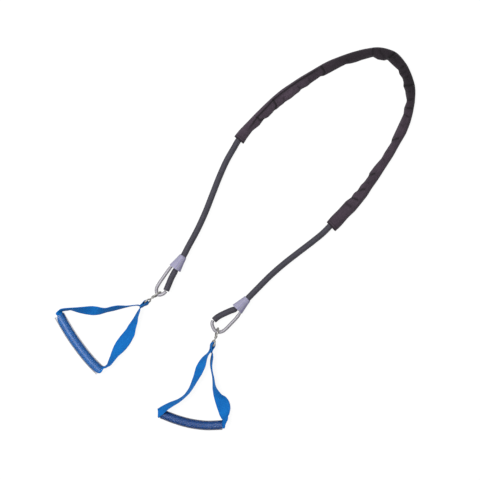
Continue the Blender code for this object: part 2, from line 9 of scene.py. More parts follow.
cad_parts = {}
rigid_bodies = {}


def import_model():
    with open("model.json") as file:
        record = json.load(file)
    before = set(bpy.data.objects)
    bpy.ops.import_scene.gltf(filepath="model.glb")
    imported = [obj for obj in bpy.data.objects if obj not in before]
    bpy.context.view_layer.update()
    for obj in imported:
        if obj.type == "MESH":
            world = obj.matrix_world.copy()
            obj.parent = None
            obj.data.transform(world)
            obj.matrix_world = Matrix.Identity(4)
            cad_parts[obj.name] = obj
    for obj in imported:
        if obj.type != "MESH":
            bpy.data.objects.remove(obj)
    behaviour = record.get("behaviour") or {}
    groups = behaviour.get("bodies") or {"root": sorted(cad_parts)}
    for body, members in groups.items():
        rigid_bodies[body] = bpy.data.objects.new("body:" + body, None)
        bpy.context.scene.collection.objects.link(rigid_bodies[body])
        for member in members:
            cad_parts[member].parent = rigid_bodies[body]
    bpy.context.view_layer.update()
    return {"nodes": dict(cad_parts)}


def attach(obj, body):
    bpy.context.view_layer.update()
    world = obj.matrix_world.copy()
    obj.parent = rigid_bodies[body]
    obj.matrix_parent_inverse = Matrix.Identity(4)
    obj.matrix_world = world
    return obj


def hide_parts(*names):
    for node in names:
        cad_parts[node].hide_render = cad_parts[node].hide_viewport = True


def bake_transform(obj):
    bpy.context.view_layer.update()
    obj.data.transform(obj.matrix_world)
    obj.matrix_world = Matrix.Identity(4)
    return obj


for ob in list(bpy.data.objects):
    bpy.data.objects.remove(ob, do_unlink=True)

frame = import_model()
sc = bpy.context.scene

# ------------------------------------------------------------------ shared layout (as in the CAD)
UNITS_PER_M = 600.0
GRID_CX, GRID_CY = 235.72, 238.94
MM = 0.001
CORD_LAY_Z, AXIS_Z = 6.4, 11.2
HOOK_COIL_R = 5.0
SNAP_CURL_R, SNAP_BAR_S, SNAP_EYE_H = 6.4, 24.0, 9.3
WEB_W, WEB_T, WEB_W_EYE = 20.0, 1.3, 15.0
HOSE_R, HOSE_BORE_R, HOSE_Z = {"left": 9.2, "right": 8.1}, {"left": 8.3, "right": 7.3}, {"left": 9.4, "right": 8.4}
HOSE_CURL = {"left": 166, "right": 199.0}
Z = Vector((0.0, 0.0, 1.0))


def grid(x, y, z_mm=0.0):
    return Vector(((x - GRID_CX) / UNITS_PER_M, (GRID_CY - y) / UNITS_PER_M, z_mm * MM))


def gdir(x, y, z=0.0):
    return Vector((x, -y, z)).normalized()


def spline(ctrl, closed=False, per=24):
    n = len(ctrl)
    out = []
    for i in range(n if closed else n - 1):
        p1, p2 = ctrl[i], ctrl[(i + 1) % n]
        if closed:
            p0, p3 = ctrl[(i - 1) % n], ctrl[(i + 2) % n]
        else:
            p0 = ctrl[i - 1] if i > 0 else 2 * p1 - p2
            p3 = ctrl[i + 2] if i + 2 < n else 2 * p2 - p1
        a = max(sqrt((p1 - p0).length), 1e-9)
        b = max(sqrt((p2 - p1).length), 1e-9)
        c = max(sqrt((p3 - p2).length), 1e-9)
        m1 = ((p1 - p0) / a - (p2 - p0) / (a + b) + (p2 - p1) / b) * b
        m2 = ((p2 - p1) / b - (p3 - p1) / (b + c) + (p3 - p2) / c) * b
        for k in range(per):
            t = k / per
            out.append(((2 * t ** 3 - 3 * t ** 2 + 1) * p1 + (t ** 3 - 2 * t ** 2 + t) * m1
                        + (-2 * t ** 3 + 3 * t ** 2) * p2 + (t ** 3 - t ** 2) * m2, i + t))
    if not closed:
        out.append((ctrl[-1].copy(), float(n - 1)))
    return out


def resample(ctrl, step, closed=False):
    dense = spline(ctrl, closed)
    if closed:
        dense.append((dense[0][0].copy(), float(len(ctrl))))
    acc = [0.0]
    for i in range(1, len(dense)):
        acc.append(acc[-1] + (dense[i][0] - dense[i - 1][0]).length)
    count = max(2, round(acc[-1] / step))
    out, j = [], 0
    for k in range(count + (0 if closed else 1)):
        s = acc[-1] * k / count
        while j < len(dense) - 2 and acc[j + 1] < s:
            j += 1
        f = (s - acc[j]) / max(acc[j + 1] - acc[j], 1e-12)
        out.append((dense[j][0].lerp(dense[j + 1][0], f), dense[j][1] + f * (dense[j + 1][1] - dense[j][1])))
    return out


def tangents(pts, closed=False):
    n = len(pts)
    res = []
    for i in range(n):
        a = pts[(i - 1) % n] if (closed or i > 0) else pts[i]
        b = pts[(i + 1) % n] if (closed or i < n - 1) else pts[i]
        res.append((b - a).normalized())
    return res


def arc(pts):
    acc = [0.0]
    for i in range(1, len(pts)):
        acc.append(acc[-1] + (pts[i] - pts[i - 1]).length)
    return acc


def smooth01(x):
    x = min(1.0, max(0.0, x))
    return x * x * (3 - 2 * x)


class End:
    def __init__(self, side, mouth, axis, leg_sign, roll_deg, bow, pull, lean_deg):
        self.side = side
        self.o = grid(mouth[0], mouth[1], AXIS_Z)
        self.u = gdir(*axis)
        flat = self.u.cross(Z).normalized() * leg_sign
        r = radians(roll_deg)
        self.v = (flat * cos(r) - Z * sin(r)).normalized()
        self.w = self.u.cross(self.v)
        self.bow = grid(bow[0], bow[1], AXIS_Z)
        self.s = gdir(*pull)
        lean = radians(lean_deg)
        self.up = (Z * cos(lean) + self.s.cross(Z).normalized() * sin(lean)).normalized()
        self.right = self.s.cross(self.up).normalized()

    def at(self, u, v, w=0.0):
        return self.o + (self.u * u + self.v * v + self.w * w) * MM

    def snap(self, s, z, l=0.0):
        return self.bow + (self.s * s + self.up * z + self.right * l) * MM


LEFT = End("left", (174.9, 268.5), (-0.559, 0.829), 1, 20.0, (157.6, 294.1), (-0.805, 0.593), 14.0)
RIGHT = End("right", (237.1, 309.3), (-0.70, 0.714), -1, 0.0, (217.2, 331.7), (-0.314, 0.949), -14.0)

HOOK_PATH = {
    "left": [(-1.6, 6.4), (2.5, 7.5), (10, 8.0), (24, 8.3), (32, 8.5), (37, 8.3), (43.5, 7.5), (48.2, 4.9), (51.5, 0.3),
             (50.8, -3.6), (46.8, -7.2), (43.4, -8.8), (40.2, -9.6)],
    "right": [(-1.6, 6.5), (2.5, 8.0), (10, 9.1), (24, 9.4), (36, 9.4), (42.5, 8.5), (46.8, 6.3), (49.9, 2.45),
              (50.9, -2.8), (49.0, -8.8), (46.2, -13.2), (42.2, -15.8)],
}
TAIL_PATH = {
    "left": [(1.5, -2.30), (3.0, -2.75), (8, -3.4), (14, -4.0), (20, -5.1), (26, -6.4), (32, -7.7), (38.6, -9.1)],
    "right": [(1.1, -2.245), (2.6, -2.79), (8, -5.6), (14, -8.1), (20, -10.4), (26, -12.6), (33, -14.3), (40.2, -14.9)],
}
CORD_LEFT = [(188.4, 246.5, 11.0), (197.3, 230.0, 10.2), (205.2, 212.8, 9.0), (212.1, 195.3, 7.9),
             (219.0, 177.7, 7.0), (226.7, 160.5, 6.5), (233.9, 147.9, 6.4)]
UNDER_SLEEVE = [(238.6, 139.9), (249.9, 126.0), (262.2, 113.7), (275.1, 101.8), (288.9, 91.0), (303.3, 81.0),
                (318.3, 71.8), (334.1, 63.8), (350.6, 57.4), (366.5, 53.5), (380.0, 53.1), (391.5, 57.0),
                (400.5, 65.0), (406.5, 75.5), (409.6, 87.5), (409.9, 100.0), (407.5, 112.5), (402.1, 127.6),
                (395.0, 143.4), (385.9, 158.4), (376.0, 172.6), (365.9, 186.8), (355.1, 200.3), (345.0, 211.3),
                (337.2, 219.3), (330.2, 225.9)]
CORD_RIGHT = [(323.0, 233.1, 6.4), (313.5, 240.9, 6.6), (298.9, 252.1, 7.4), (284.4, 263.4, 8.6),
              (270.5, 275.5, 10.0), (257.5, 288.5, 11.0)]

# ------------------------------------------------------------------ camera, world, light
cam_data = bpy.data.cameras.new("camera")
cam = bpy.data.objects.new("camera", cam_data)
sc.collection.objects.link(cam)
CAM_H = 4.0
cam.location = (*grid(240.0, 240.0)[:2], CAM_H)
cam.rotation_euler = (0.0, 0.0, 0.0)
cam_data.lens = 36.0 * (CAM_H - 0.009) / 0.8
cam_data.sensor_width = 36.0
cam_data.clip_end = 50.0
sc.camera = cam

sc.view_settings.view_transform = 'Standard'
sc.view_settings.look = 'None'
sc.view_settings.exposure = 0.0

world = bpy.data.worlds.new("studio")
sc.world = world
world.use_nodes = True
wn, wl = world.node_tree.nodes, world.node_tree.links
wn.clear()
w_out = wn.new("ShaderNodeOutputWorld")
w_bg = wn.new("ShaderNodeBackground")
w_co = wn.new("ShaderNodeTexCoord")
w_sep = wn.new("ShaderNodeSeparateXYZ")
w_ramp = wn.new("ShaderNodeValToRGB")
w_ramp.color_ramp.elements[0].position = 0.0
w_ramp.color_ramp.elements[0].color = (0.50, 0.50, 0.53, 1)
w_ramp.color_ramp.elements[1].position = 0.35
w_ramp.color_ramp.elements[1].color = (0.92, 0.92, 0.94, 1)
for w_pos, w_val in ((0.72, 0.95), (0.93, 0.52), (1.0, 0.44)):
    w_el = w_ramp.color_ramp.elements.new(w_pos)
    w_el.color = (w_val, w_val, w_val * 1.01, 1)
wl.new(w_co.outputs["Generated"], w_sep.inputs[0])
wl.new(w_sep.outputs["Z"], w_ramp.inputs["Fac"])
wl.new(w_ramp.outputs["Color"], w_bg.inputs["Color"])
w_bg.inputs["Strength"].default_value = 0.75
wl.new(w_bg.outputs[0], w_out.inputs[0])


def area_light(name, loc, target, size, watts, color=(1, 1, 1)):
    ld = bpy.data.lights.new(name, 'AREA')
    ld.shape = 'DISK'
    ld.size = size
    ld.energy = watts
    ld.color = color
    lo = bpy.data.objects.new(name, ld)
    sc.collection.objects.link(lo)
    lo.location = loc
    lo.rotation_euler = (Vector(target) - Vector(loc)).to_track_quat('-Z', 'Y').to_euler()
    return lo


area_light("key", (-1.15, 0.35, 2.35), (0, 0, 0), 1.6, 112.0)
area_light("fill", (-0.2, -1.5, 2.1), (0, 0, 0), 2.0, 22.0)
area_light("gloss_a", (0.72, 0.63, 2.3), (-0.25, -0.18, 0), 0.25, 1.6)
area_light("gloss_b", (-0.04, 0.85, 2.3), (-0.04, -0.31, 0), 0.25, 1.6)


# ------------------------------------------------------------------ materials
def new_mat(name, rgb=None, rough=0.6, metal=0.0):
    m = bpy.data.materials.new(name)
    m.use_nodes = True
    nt = m.node_tree
    b = nt.nodes["Principled BSDF"]
    b.inputs["Roughness"].default_value = rough
    b.inputs["Metallic"].default_value = metal
    if rgb is not None:
        b.inputs["Base Color"].default_value = (*rgb, 1.0)
        m.diffuse_color = (*rgb, 1.0)
    return m, nt, b


def node(nt, kind, **props):
    n = nt.nodes.new(kind)
    for k, v in props.items():
        setattr(n, k, v)
    return n


def link(nt, a, b):
    nt.links.new(a, b)


def math(nt, op, a, b=None):
    n = node(nt, "ShaderNodeMath", operation=op)
    for i, v in enumerate((a, b)):
        if v is None:
            continue
        if isinstance(v, (int, float)):
            n.inputs[i].default_value = v
        else:
            link(nt, v, n.inputs[i])
    return n.outputs[0]


def ramp(nt, fac, stops):
    n = node(nt, "ShaderNodeValToRGB")
    cr = n.color_ramp
    while len(cr.elements) < len(stops):
        cr.elements.new(0.5)
    for el, (p, c) in zip(cr.elements, stops):
        el.position = p
        el.color = (*c, 1.0) if len(c) == 3 else c
    link(nt, fac, n.inputs["Fac"])
    return n.outputs["Color"]


def noise_tex(nt, vec, scale, detail=3.0, rough=0.55):
    n = node(nt, "ShaderNodeTexNoise")
    n.inputs["Scale"].default_value = scale
    n.inputs["Detail"].default_value = detail
    n.inputs["Roughness"].default_value = rough
    link(nt, vec, n.inputs["Vector"])
    return n.outputs["Fac"]


def mapping(nt, vec, scale):
    n = node(nt, "ShaderNodeMapping")
    n.inputs["Scale"].default_value = scale
    link(nt, vec, n.inputs["Vector"])
    return n.outputs["Vector"]


def bump(nt, bsdf, height, strength, dist):
    n = node(nt, "ShaderNodeBump")
    n.inputs["Strength"].default_value = strength
    n.inputs["Distance"].default_value = dist
    link(nt, height, n.inputs["Height"])
    link(nt, n.outputs["Normal"], bsdf.inputs["Normal"])


def mix_rgb(nt, fac, a, b, blend='MIX'):
    n = node(nt, "ShaderNodeMix", data_type='RGBA', blend_type=blend)
    if isinstance(fac, (int, float)):
        n.inputs[0].default_value = fac
    else:
        link(nt, fac, n.inputs[0])
    for i, v in ((6, a), (7, b)):
        if isinstance(v, tuple):
            n.inputs[i].default_value = (*v, 1.0) if len(v) == 3 else v
        else:
            link(nt, v, n.inputs[i])
    return n.outputs[2]


def uv_axes(nt):
    uv = node(nt, "ShaderNodeUVMap")
    sep = node(nt, "ShaderNodeSeparateXYZ")
    link(nt, uv.outputs[0], sep.inputs[0])
    return uv.outputs[0], sep.outputs[0], sep.outputs[1]


def make_cord():
    m, nt, b = new_mat("cord_braid", (0.055, 0.051, 0.072), 0.72)
    att = node(nt, "ShaderNodeAttribute", attribute_name="shade_tone")
    tc = node(nt, "ShaderNodeTexCoord")
    n1 = noise_tex(nt, tc.outputs["Object"], 90.0, 4.0)
    n2 = noise_tex(nt, tc.outputs["Object"], 1400.0, 2.0)
    col = ramp(nt, n1, [(0.30, (0.0162, 0.0147, 0.0224)), (0.72, (0.0245, 0.0226, 0.0334))])
    # painted shade: the base colour is darkened in the braid's grooves
    braid_groove_shade = ramp(nt, att.outputs["Fac"], [(0.05, (0.42, 0.42, 0.44)), (0.65, (1.0, 1.0, 1.0))])
    link(nt, mix_rgb(nt, 1.0, col, braid_groove_shade, 'MULTIPLY'), b.inputs["Base Color"])
    link(nt, ramp(nt, n2, [(0.3, (0.62, 0.62, 0.62)), (0.7, (0.84, 0.84, 0.84))]), b.inputs["Roughness"])
    b.inputs["Sheen Weight"].default_value = 0.06
    b.inputs["Sheen Roughness"].default_value = 0.5
    b.inputs["Specular IOR Level"].default_value = 0.3
    bump(nt, b, n2, 0.35, 0.0003)
    return m


def make_core():
    m, nt, b = new_mat("cord_core_rubber", (0.045, 0.042, 0.050), 0.65)
    tc = node(nt, "ShaderNodeTexCoord")
    vo = node(nt, "ShaderNodeTexVoronoi")
    vo.inputs["Scale"].default_value = 900.0
    link(nt, tc.outputs["Object"], vo.inputs["Vector"])
    # painted shade: darker in the gaps between the rubber strands
    link(nt, ramp(nt, vo.outputs["Distance"], [(0.05, (0.045, 0.042, 0.048)), (0.6, (0.018, 0.017, 0.020))]), b.inputs["Base Color"])
    bump(nt, b, vo.outputs["Distance"], 0.5, 0.0004)
    return m


def make_sleeve():
    m, nt, b = new_mat("sleeve_fabric", (0.035, 0.029, 0.036), 0.88)
    uv, u, v = uv_axes(nt)
    # plain weave: fine threads along and across
    wu = math(nt, 'SINE', math(nt, 'MULTIPLY', u, 2 * pi / 0.0011))
    wv = math(nt, 'SINE', math(nt, 'MULTIPLY', v, 2 * pi / 0.0011))
    weave = math(nt, 'MULTIPLY', wu, wv)
    tc = node(nt, "ShaderNodeTexCoord")
    n1 = noise_tex(nt, tc.outputs["Object"], 45.0, 4.0)
    n2 = noise_tex(nt, tc.outputs["Object"], 600.0, 3.0)
    col = ramp(nt, n1, [(0.28, (0.0252, 0.0172, 0.0252)), (0.74, (0.0404, 0.0279, 0.0396))])
    lift = ramp(nt, math(nt, 'ADD', math(nt, 'MULTIPLY', weave, 0.5), 0.5), [(0.0, (0.72, 0.72, 0.72)), (1.0, (1.18, 1.15, 1.18))])
    # per-vertex tone darkens the colour: painted shade in the creases, the seam groove, the turned-under edges and the
    # mouths, plus a darker band round the bend
    att = node(nt, "ShaderNodeAttribute", attribute_name="shade_tone")
    shade = ramp(nt, att.outputs["Fac"], [(0.0, (0.0, 0.0, 0.0)), (1.0, (1.0, 1.0, 1.0))])
    link(nt, mix_rgb(nt, 1.0, mix_rgb(nt, 1.0, col, lift, 'MULTIPLY'), shade, 'MULTIPLY'), b.inputs["Base Color"])
    b.inputs["Sheen Weight"].default_value = 0.11
    b.inputs["Sheen Roughness"].default_value = 0.45
    b.inputs["Sheen Tint"].default_value = (0.80, 0.70, 0.82, 1.0)
    b.inputs["Specular IOR Level"].default_value = 0.2
    bump(nt, b, math(nt, 'ADD', weave, math(nt, 'MULTIPLY', n2, 0.8)), 0.45, 0.0003)
    return m


def make_web():
    m, nt, b = new_mat("blue_webbing", (0.012, 0.125, 0.44), 0.78)
    uv, u, v = uv_axes(nt)
    # webbing: broad weft ribs across, fine warp columns along, rows offset like a plain weave
    ribs = math(nt, 'SINE', math(nt, 'MULTIPLY', u, 2 * pi / 0.0019))
    cols = math(nt, 'SINE', math(nt, 'MULTIPLY', v, 2 * pi / 0.0017))
    weave = math(nt, 'MULTIPLY', ribs, cols)
    tc = node(nt, "ShaderNodeTexCoord")
    n1 = noise_tex(nt, tc.outputs["Object"], 70.0, 4.0)
    n2 = noise_tex(nt, mapping(nt, uv, (400.0, 2200.0, 1.0)), 1.0, 2.0)
    col = ramp(nt, n1, [(0.28, (0.0018, 0.0615, 0.2190)), (0.74, (0.0036, 0.0880, 0.2770))])
    lift = ramp(nt, math(nt, 'ADD', math(nt, 'MULTIPLY', weave, 0.5), 0.5), [(0.0, (0.86, 0.87, 0.89)), (1.0, (1.08, 1.07, 1.06))])
    link(nt, mix_rgb(nt, 1.0, col, lift, 'MULTIPLY'), b.inputs["Base Color"])
    b.inputs["Sheen Weight"].default_value = 0.04
    b.inputs["Sheen Roughness"].default_value = 0.4
    b.inputs["Sheen Tint"].default_value = (0.15, 0.55, 1.0, 1.0)
    b.inputs["Specular IOR Level"].default_value = 0.06
    bump(nt, b, math(nt, 'ADD', weave, math(nt, 'MULTIPLY', n2, 0.6)), 0.35, 0.00035)
    return m


def make_thread():
    m, nt, b = new_mat("blue_thread", (0.016, 0.16, 0.52), 0.6)
    tc = node(nt, "ShaderNodeTexCoord")
    n1 = noise_tex(nt, tc.outputs["Object"], 1500.0, 2.0)
    link(nt, ramp(nt, n1, [(0.3, (0.007, 0.078, 0.27)), (0.7, (0.015, 0.12, 0.35))]), b.inputs["Base Color"])
    bump(nt, b, n1, 0.4, 0.0002)
    return m


def make_cone():
    m, nt, b = new_mat("cone_plastic", (0.16, 0.15, 0.23), 0.42)
    uv, u, v = uv_axes(nt)
    tc = node(nt, "ShaderNodeTexCoord")
    streak = noise_tex(nt, mapping(nt, uv, (9.0, 170.0, 1.0)), 1.0, 1.0)
    n2 = noise_tex(nt, tc.outputs["Object"], 220.0, 1.0)
    n3 = noise_tex(nt, tc.outputs["Object"], 60.0, 3.0)
    col = ramp(nt, streak, [(0.30, (0.120, 0.110, 0.196)), (0.50, (0.172, 0.165, 0.240)), (0.70, (0.142, 0.141, 0.172))])
    lift = ramp(nt, n3, [(0.3, (0.90, 0.90, 0.90)), (0.7, (1.08, 1.08, 1.06))])
    link(nt, mix_rgb(nt, 1.0, col, lift, 'MULTIPLY'), b.inputs["Base Color"])
    link(nt, ramp(nt, n2, [(0.3, (0.48, 0.48, 0.48)), (0.7, (0.58, 0.58, 0.58))]), b.inputs["Roughness"])
    bump(nt, b, streak, 0.06, 0.0003)
    b.inputs["Specular IOR Level"].default_value = 0.3
    return m


def make_steel(name, lo, hi, r0, r1, metal):
    m, nt, b = new_mat(name, hi, 0.3, metal)
    tc = node(nt, "ShaderNodeTexCoord")
    uv, u, v = uv_axes(nt)
    n1 = noise_tex(nt, tc.outputs["Object"], 70.0, 3.0)
    n2 = noise_tex(nt, mapping(nt, uv, (90.0, 2500.0, 1.0)), 1.0, 3.0)
    link(nt, ramp(nt, n1, [(0.25, lo), (0.75, hi)]), b.inputs["Base Color"])
    link(nt, ramp(nt, n2, [(0.25, (r0,) * 3), (0.75, (r1,) * 3)]), b.inputs["Roughness"])
    bump(nt, b, n2, 0.05, 0.0001)
    return m


def make_hose(name, density, coat):
    m, nt, b = new_mat(name, (1.0, 1.0, 1.0), 0.05)
    tc = node(nt, "ShaderNodeTexCoord")
    n1 = noise_tex(nt, tc.outputs["Object"], 160.0, 3.0)
    lw = node(nt, "ShaderNodeLayerWeight")
    lw.inputs["Blend"].default_value = 0.5
    edge = ramp(nt, lw.outputs["Facing"], [(0.0, (1.0, 1.0, 1.0)), (0.34, (0.95, 0.95, 0.95)), (0.46, (0.50, 0.49, 0.47)), (0.60, (0.27, 0.26, 0.25)), (0.85, (0.20, 0.19, 0.18))])
    tint = ramp(nt, n1, [(0.3, (0.94, 0.93, 0.92)), (0.7, (1.0, 1.0, 1.0))])
    link(nt, mix_rgb(nt, 1.0, tint, edge, 'MULTIPLY'), b.inputs["Base Color"])
    link(nt, ramp(nt, n1, [(0.3, (0.06, 0.06, 0.06)), (0.75, (0.11, 0.11, 0.11))]), b.inputs["Roughness"])
    b.inputs["Transmission Weight"].default_value = 1.0
    b.inputs["IOR"].default_value = 1.06
    b.inputs["Coat Weight"].default_value = coat
    b.inputs["Coat IOR"].default_value = 1.5
    b.inputs["Coat Roughness"].default_value = 0.36
    vol = node(nt, "ShaderNodeVolumeAbsorption")
    vol.inputs["Color"].default_value = (0.24, 0.32, 0.50, 1.0)
    vol.inputs["Density"].default_value = density
    link(nt, vol.outputs[0], nt.nodes["Material Output"].inputs["Volume"])
    # light on its way to the webbing inside goes straight through the thin wall
    lp = node(nt, "ShaderNodeLightPath")
    clear = node(nt, "ShaderNodeBsdfTransparent")
    clear.inputs["Color"].default_value = (0.93, 0.93, 0.94, 1.0)
    mix = node(nt, "ShaderNodeMixShader")
    soft = math(nt, 'MAXIMUM', lp.outputs["Is Shadow Ray"], lp.outputs["Is Diffuse Ray"])
    link(nt, math(nt, 'MAXIMUM', soft, lp.outputs["Is Glossy Ray"]), mix.inputs[0])
    link(nt, b.outputs[0], mix.inputs[1])
    link(nt, clear.outputs[0], mix.inputs[2])
    link(nt, mix.outputs[0], nt.nodes["Material Output"].inputs["Surface"])
    return m


M_CORD, M_CORE, M_SLEEVE, M_WEB, M_THREAD, M_CONE = (
    make_cord(), make_core(), make_sleeve(), make_web(), make_thread(), make_cone())
M_HOSE = {"left": make_hose("clear_hose_left", 80.0, 0.8), "right": make_hose("clear_hose_right", 640.0, 0.6)}
M_HOOK = make_steel("hook_steel", (0.150, 0.144, 0.160), (0.182, 0.174, 0.192), 0.46, 0.58, 0.40)
M_SNAP = make_steel("snap_steel", (0.150, 0.147, 0.138), (0.250, 0.245, 0.230), 0.36, 0.55, 0.50)


# ------------------------------------------------------------------ mesh builders
def tube(name, rings, us, vs, mat, closed=False, caps=True, shade_tone=None, sharp=40.0, cap_mat=None):
    """Mesh from rings (N, M, 3). us: position along (N, or N+1 if closed), vs: position round (M+1)."""
    rings = np.asarray(rings, float)
    n, m, _ = rings.shape
    idx = np.arange(n * m).reshape(n, m)
    i0 = idx if closed else idx[:-1]
    i1 = np.roll(idx, -1, 0) if closed else idx[1:]
    quads = np.stack([i0, np.roll(i0, -1, 1), np.roll(i1, -1, 1), i1], -1)
    rows = quads.shape[0]
    us, vs = np.asarray(us, float), np.asarray(vs, float)
    uu = np.stack([us[:rows], us[:rows], us[1:rows + 1], us[1:rows + 1]], -1)[:, None, :].repeat(m, 1)
    vv = np.stack([vs[:m], vs[1:m + 1], vs[1:m + 1], vs[:m]], -1)[None].repeat(rows, 0)
    uv = np.stack([uu, vv], -1)
    quads = quads.reshape(-1, 4)
    flat = rings.reshape(-1, 3)
    p = flat[quads]
    c = flat.mean(0)
    vol = np.einsum('ij,ij->i', p[:, 0] - c, np.cross(p[:, 1] - c, p[:, 2] - c)).sum() \
        + np.einsum('ij,ij->i', p[:, 0] - c, np.cross(p[:, 2] - c, p[:, 3] - c)).sum()
    uv = uv.reshape(-1, 4, 2)
    flip = vol < 0
    if flip:
        quads, uv = quads[:, ::-1], uv[:, ::-1]
    faces = quads.tolist()
    loops = uv.reshape(-1, 2)
    n_quads = len(faces)
    if caps and not closed:
        a, z = idx[0].tolist(), idx[-1].tolist()
        first, last = (a, z[::-1]) if flip else (a[::-1], z)
        faces += [first, last]
        extra = np.zeros((2 * m, 2))
        loops = np.concatenate([loops, extra])
    me = bpy.data.meshes.new(name)
    me.from_pydata(flat.tolist(), [], faces)
    lay = me.uv_layers.new(name="UVMap")
    lay.data.foreach_set("uv", loops.astype(np.float32).ravel())
    # per-vertex tone that the materials turn into painted shade
    if shade_tone is not None:
        at = me.attributes.new("shade_tone", 'FLOAT', 'POINT')
        at.data.foreach_set("value", np.asarray(shade_tone, np.float32).ravel())
    me.materials.append(mat)
    if cap_mat is not None:
        me.materials.append(cap_mat)
        for i in range(n_quads, len(faces)):
            me.polygons[i].material_index = 1
    me.shade_smooth()
    me.set_sharp_from_angle(angle=radians(sharp))
    me.update()
    ob = bpy.data.objects.new(name, me)
    sc.collection.objects.link(ob)
    return ob


def frames(pts):
    """Rotation-minimising frames along a path."""
    ts = tangents(pts)
    ref = Z if abs(ts[0].dot(Z)) < 0.9 else Vector((1, 0, 0))
    side = ts[0].cross(ref).normalized()
    out = []
    for i, t in enumerate(ts):
        if i:
            side = (side - t * side.dot(t)).normalized()
        out.append((t, side, side.cross(t).normalized()))
    return out


def wire(name, ctrl, r, mat, step, sides, round_tip=0.35, grow=None):
    """Round wire with a softened cut at each end."""
    pts = [p for p, _ in resample(ctrl, step)]
    fr = frames(pts)
    acc = arc(pts)
    rings, us = [], []

    def ring(i, rad, push):
        p, (t, a, b) = pts[i], fr[i]
        rad = rad * grow(p) if grow else rad
        rings.append([p + t * push + (a * cos(2 * pi * k / sides) + b * sin(2 * pi * k / sides)) * rad for k in range(sides)])
        us.append(acc[i] + push)
    c = r * round_tip
    for f in (1.0, 0.6, 0.25):
        ring(0, r - c * f, -c * (1 - f * f) * 0.6)
    for i in range(len(pts)):
        ring(i, r, 0.0)
    for f in (0.25, 0.6, 1.0):
        ring(len(pts) - 1, r - c * f, c * (1 - (1 - f) ** 2) * 0.6)
    # start rings were made outermost first
    head = rings[:3]
    rings[:3] = head
    vs = [2 * pi * r * k / sides for k in range(sides + 1)]
    return tube(name, rings, us, vs, mat, sharp=50.0)


def lathe(name, profile, origin, axis, ref, mat, sides=64):
    """Closed (along, radius) profile in mm turned about an axis."""
    a = axis.cross(ref).normalized()
    b = a.cross(axis).normalized()
    rings = [[origin + axis * (u * MM) + (a * cos(2 * pi * k / sides) + b * sin(2 * pi * k / sides)) * (r * MM)
              for k in range(sides)] for u, r in profile]
    us = [0.0]
    n = len(profile)
    for i in range(n):
        (u0, r0), (u1, r1) = profile[i], profile[(i + 1) % n]
        us.append(us[-1] + sqrt((u1 - u0) ** 2 + (r1 - r0) ** 2) * MM)
    vs = [2 * pi * 8 * MM * k / sides for k in range(sides + 1)]
    return tube(name, rings, us, vs, mat, closed=True, sharp=35.0)


def braid(theta, s, carriers=10, pitch=0.0046):
    """Height of a plain braid, 0 to 1, at an angle and a length along the cord."""
    a = carriers * theta / (2 * pi) + s / pitch
    b = carriers * theta / (2 * pi) - s / pitch
    fa, fb = a - np.floor(a), b - np.floor(b)
    ha = (1 - (2 * fa - 1) ** 2) * (0.55 + 0.45 * np.sin(pi * b + pi * np.floor(a)))
    hb = (1 - (2 * fb - 1) ** 2) * (0.55 - 0.45 * np.sin(pi * a + pi * np.floor(b)))
    return np.maximum(ha, hb)


def cord_rings(pts, radius_at, sides, s0=0.0):
    fr = frames(pts)
    acc = np.array(arc(pts)) + s0
    th = 2 * pi * np.arange(sides) / sides
    h = braid(th[None, :], acc[:, None])
    rings = np.zeros((len(pts), sides, 3))
    for i, (p, (t, a, b)) in enumerate(zip(pts, fr)):
        r = radius_at(i, acc[i]) - 0.17 * MM + 0.20 * MM * h[i]
        rings[i] = np.array(p)[None] + (np.cos(th) * r)[:, None] * np.array(a)[None] + (np.sin(th) * r)[:, None] * np.array(b)[None]
    return rings, acc, h


# ------------------------------------------------------------------ elastic cord
cord_ctrl = [LEFT.at(-18.0, 0), LEFT.at(-22.0, 0), LEFT.at(-27.0, 0)]
cord_ctrl += [grid(*p) for p in CORD_LEFT] + [grid(x, y, CORD_LAY_Z) for x, y in UNDER_SLEEVE]
cord_ctrl += [grid(*p) for p in CORD_RIGHT]
cord_ctrl += [RIGHT.at(-27.0, 0), RIGHT.at(-22.0, 0), RIGHT.at(-18.0, 0)]
cord_pts = [p for p, _ in resample(cord_ctrl, 0.0010)]
rings, acc, h = cord_rings(cord_pts, lambda i, s: 5.25 * MM, 44)
cord = tube("braided_cord", rings, acc, [2 * pi * 5 * MM * k / 44 for k in range(45)], M_CORD, shade_tone=h, sharp=70.0)
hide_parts("elastic_cord")
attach(cord, "cord_assembly")

# ------------------------------------------------------------------ sleeve
# Edges of the lying sleeve on the drawing grid: taut outside, gathered and notched inside.
OUTER_EDGE = [(233.3, 138.0), (239.0, 130.6), (248.2, 121.2), (255.5, 113.6), (263.8, 105.4), (272.1, 97.6), (280.8, 90.2),
              (289.1, 84.6), (300.1, 77.3), (312.2, 70.2), (321.9, 64.4), (330.2, 60.2), (341.3, 55.9), (351.0, 52.5),
              (362.2, 49.4), (372.4, 47.6), (377.5, 47.1), (384.7, 47.9), (391.8, 50.2), (396.4, 52.2), (402.0, 57.8),
              (407.6, 65.5), (411.7, 74.7), (414.8, 84.3), (415.5, 91.5), (414.8, 102.2), (412.9, 112.8), (410.4, 122.4),
              (406.1, 133.4), (399.7, 144.1), (393.2, 155.9), (385.2, 168.2), (377.7, 180.0), (372.0, 187.8), (367.0, 196.0),
              (360.1, 204.6), (355.2, 210.7), (348.2, 217.2), (340.5, 226.2), (335.6, 230.7), (331.7, 233.3)]
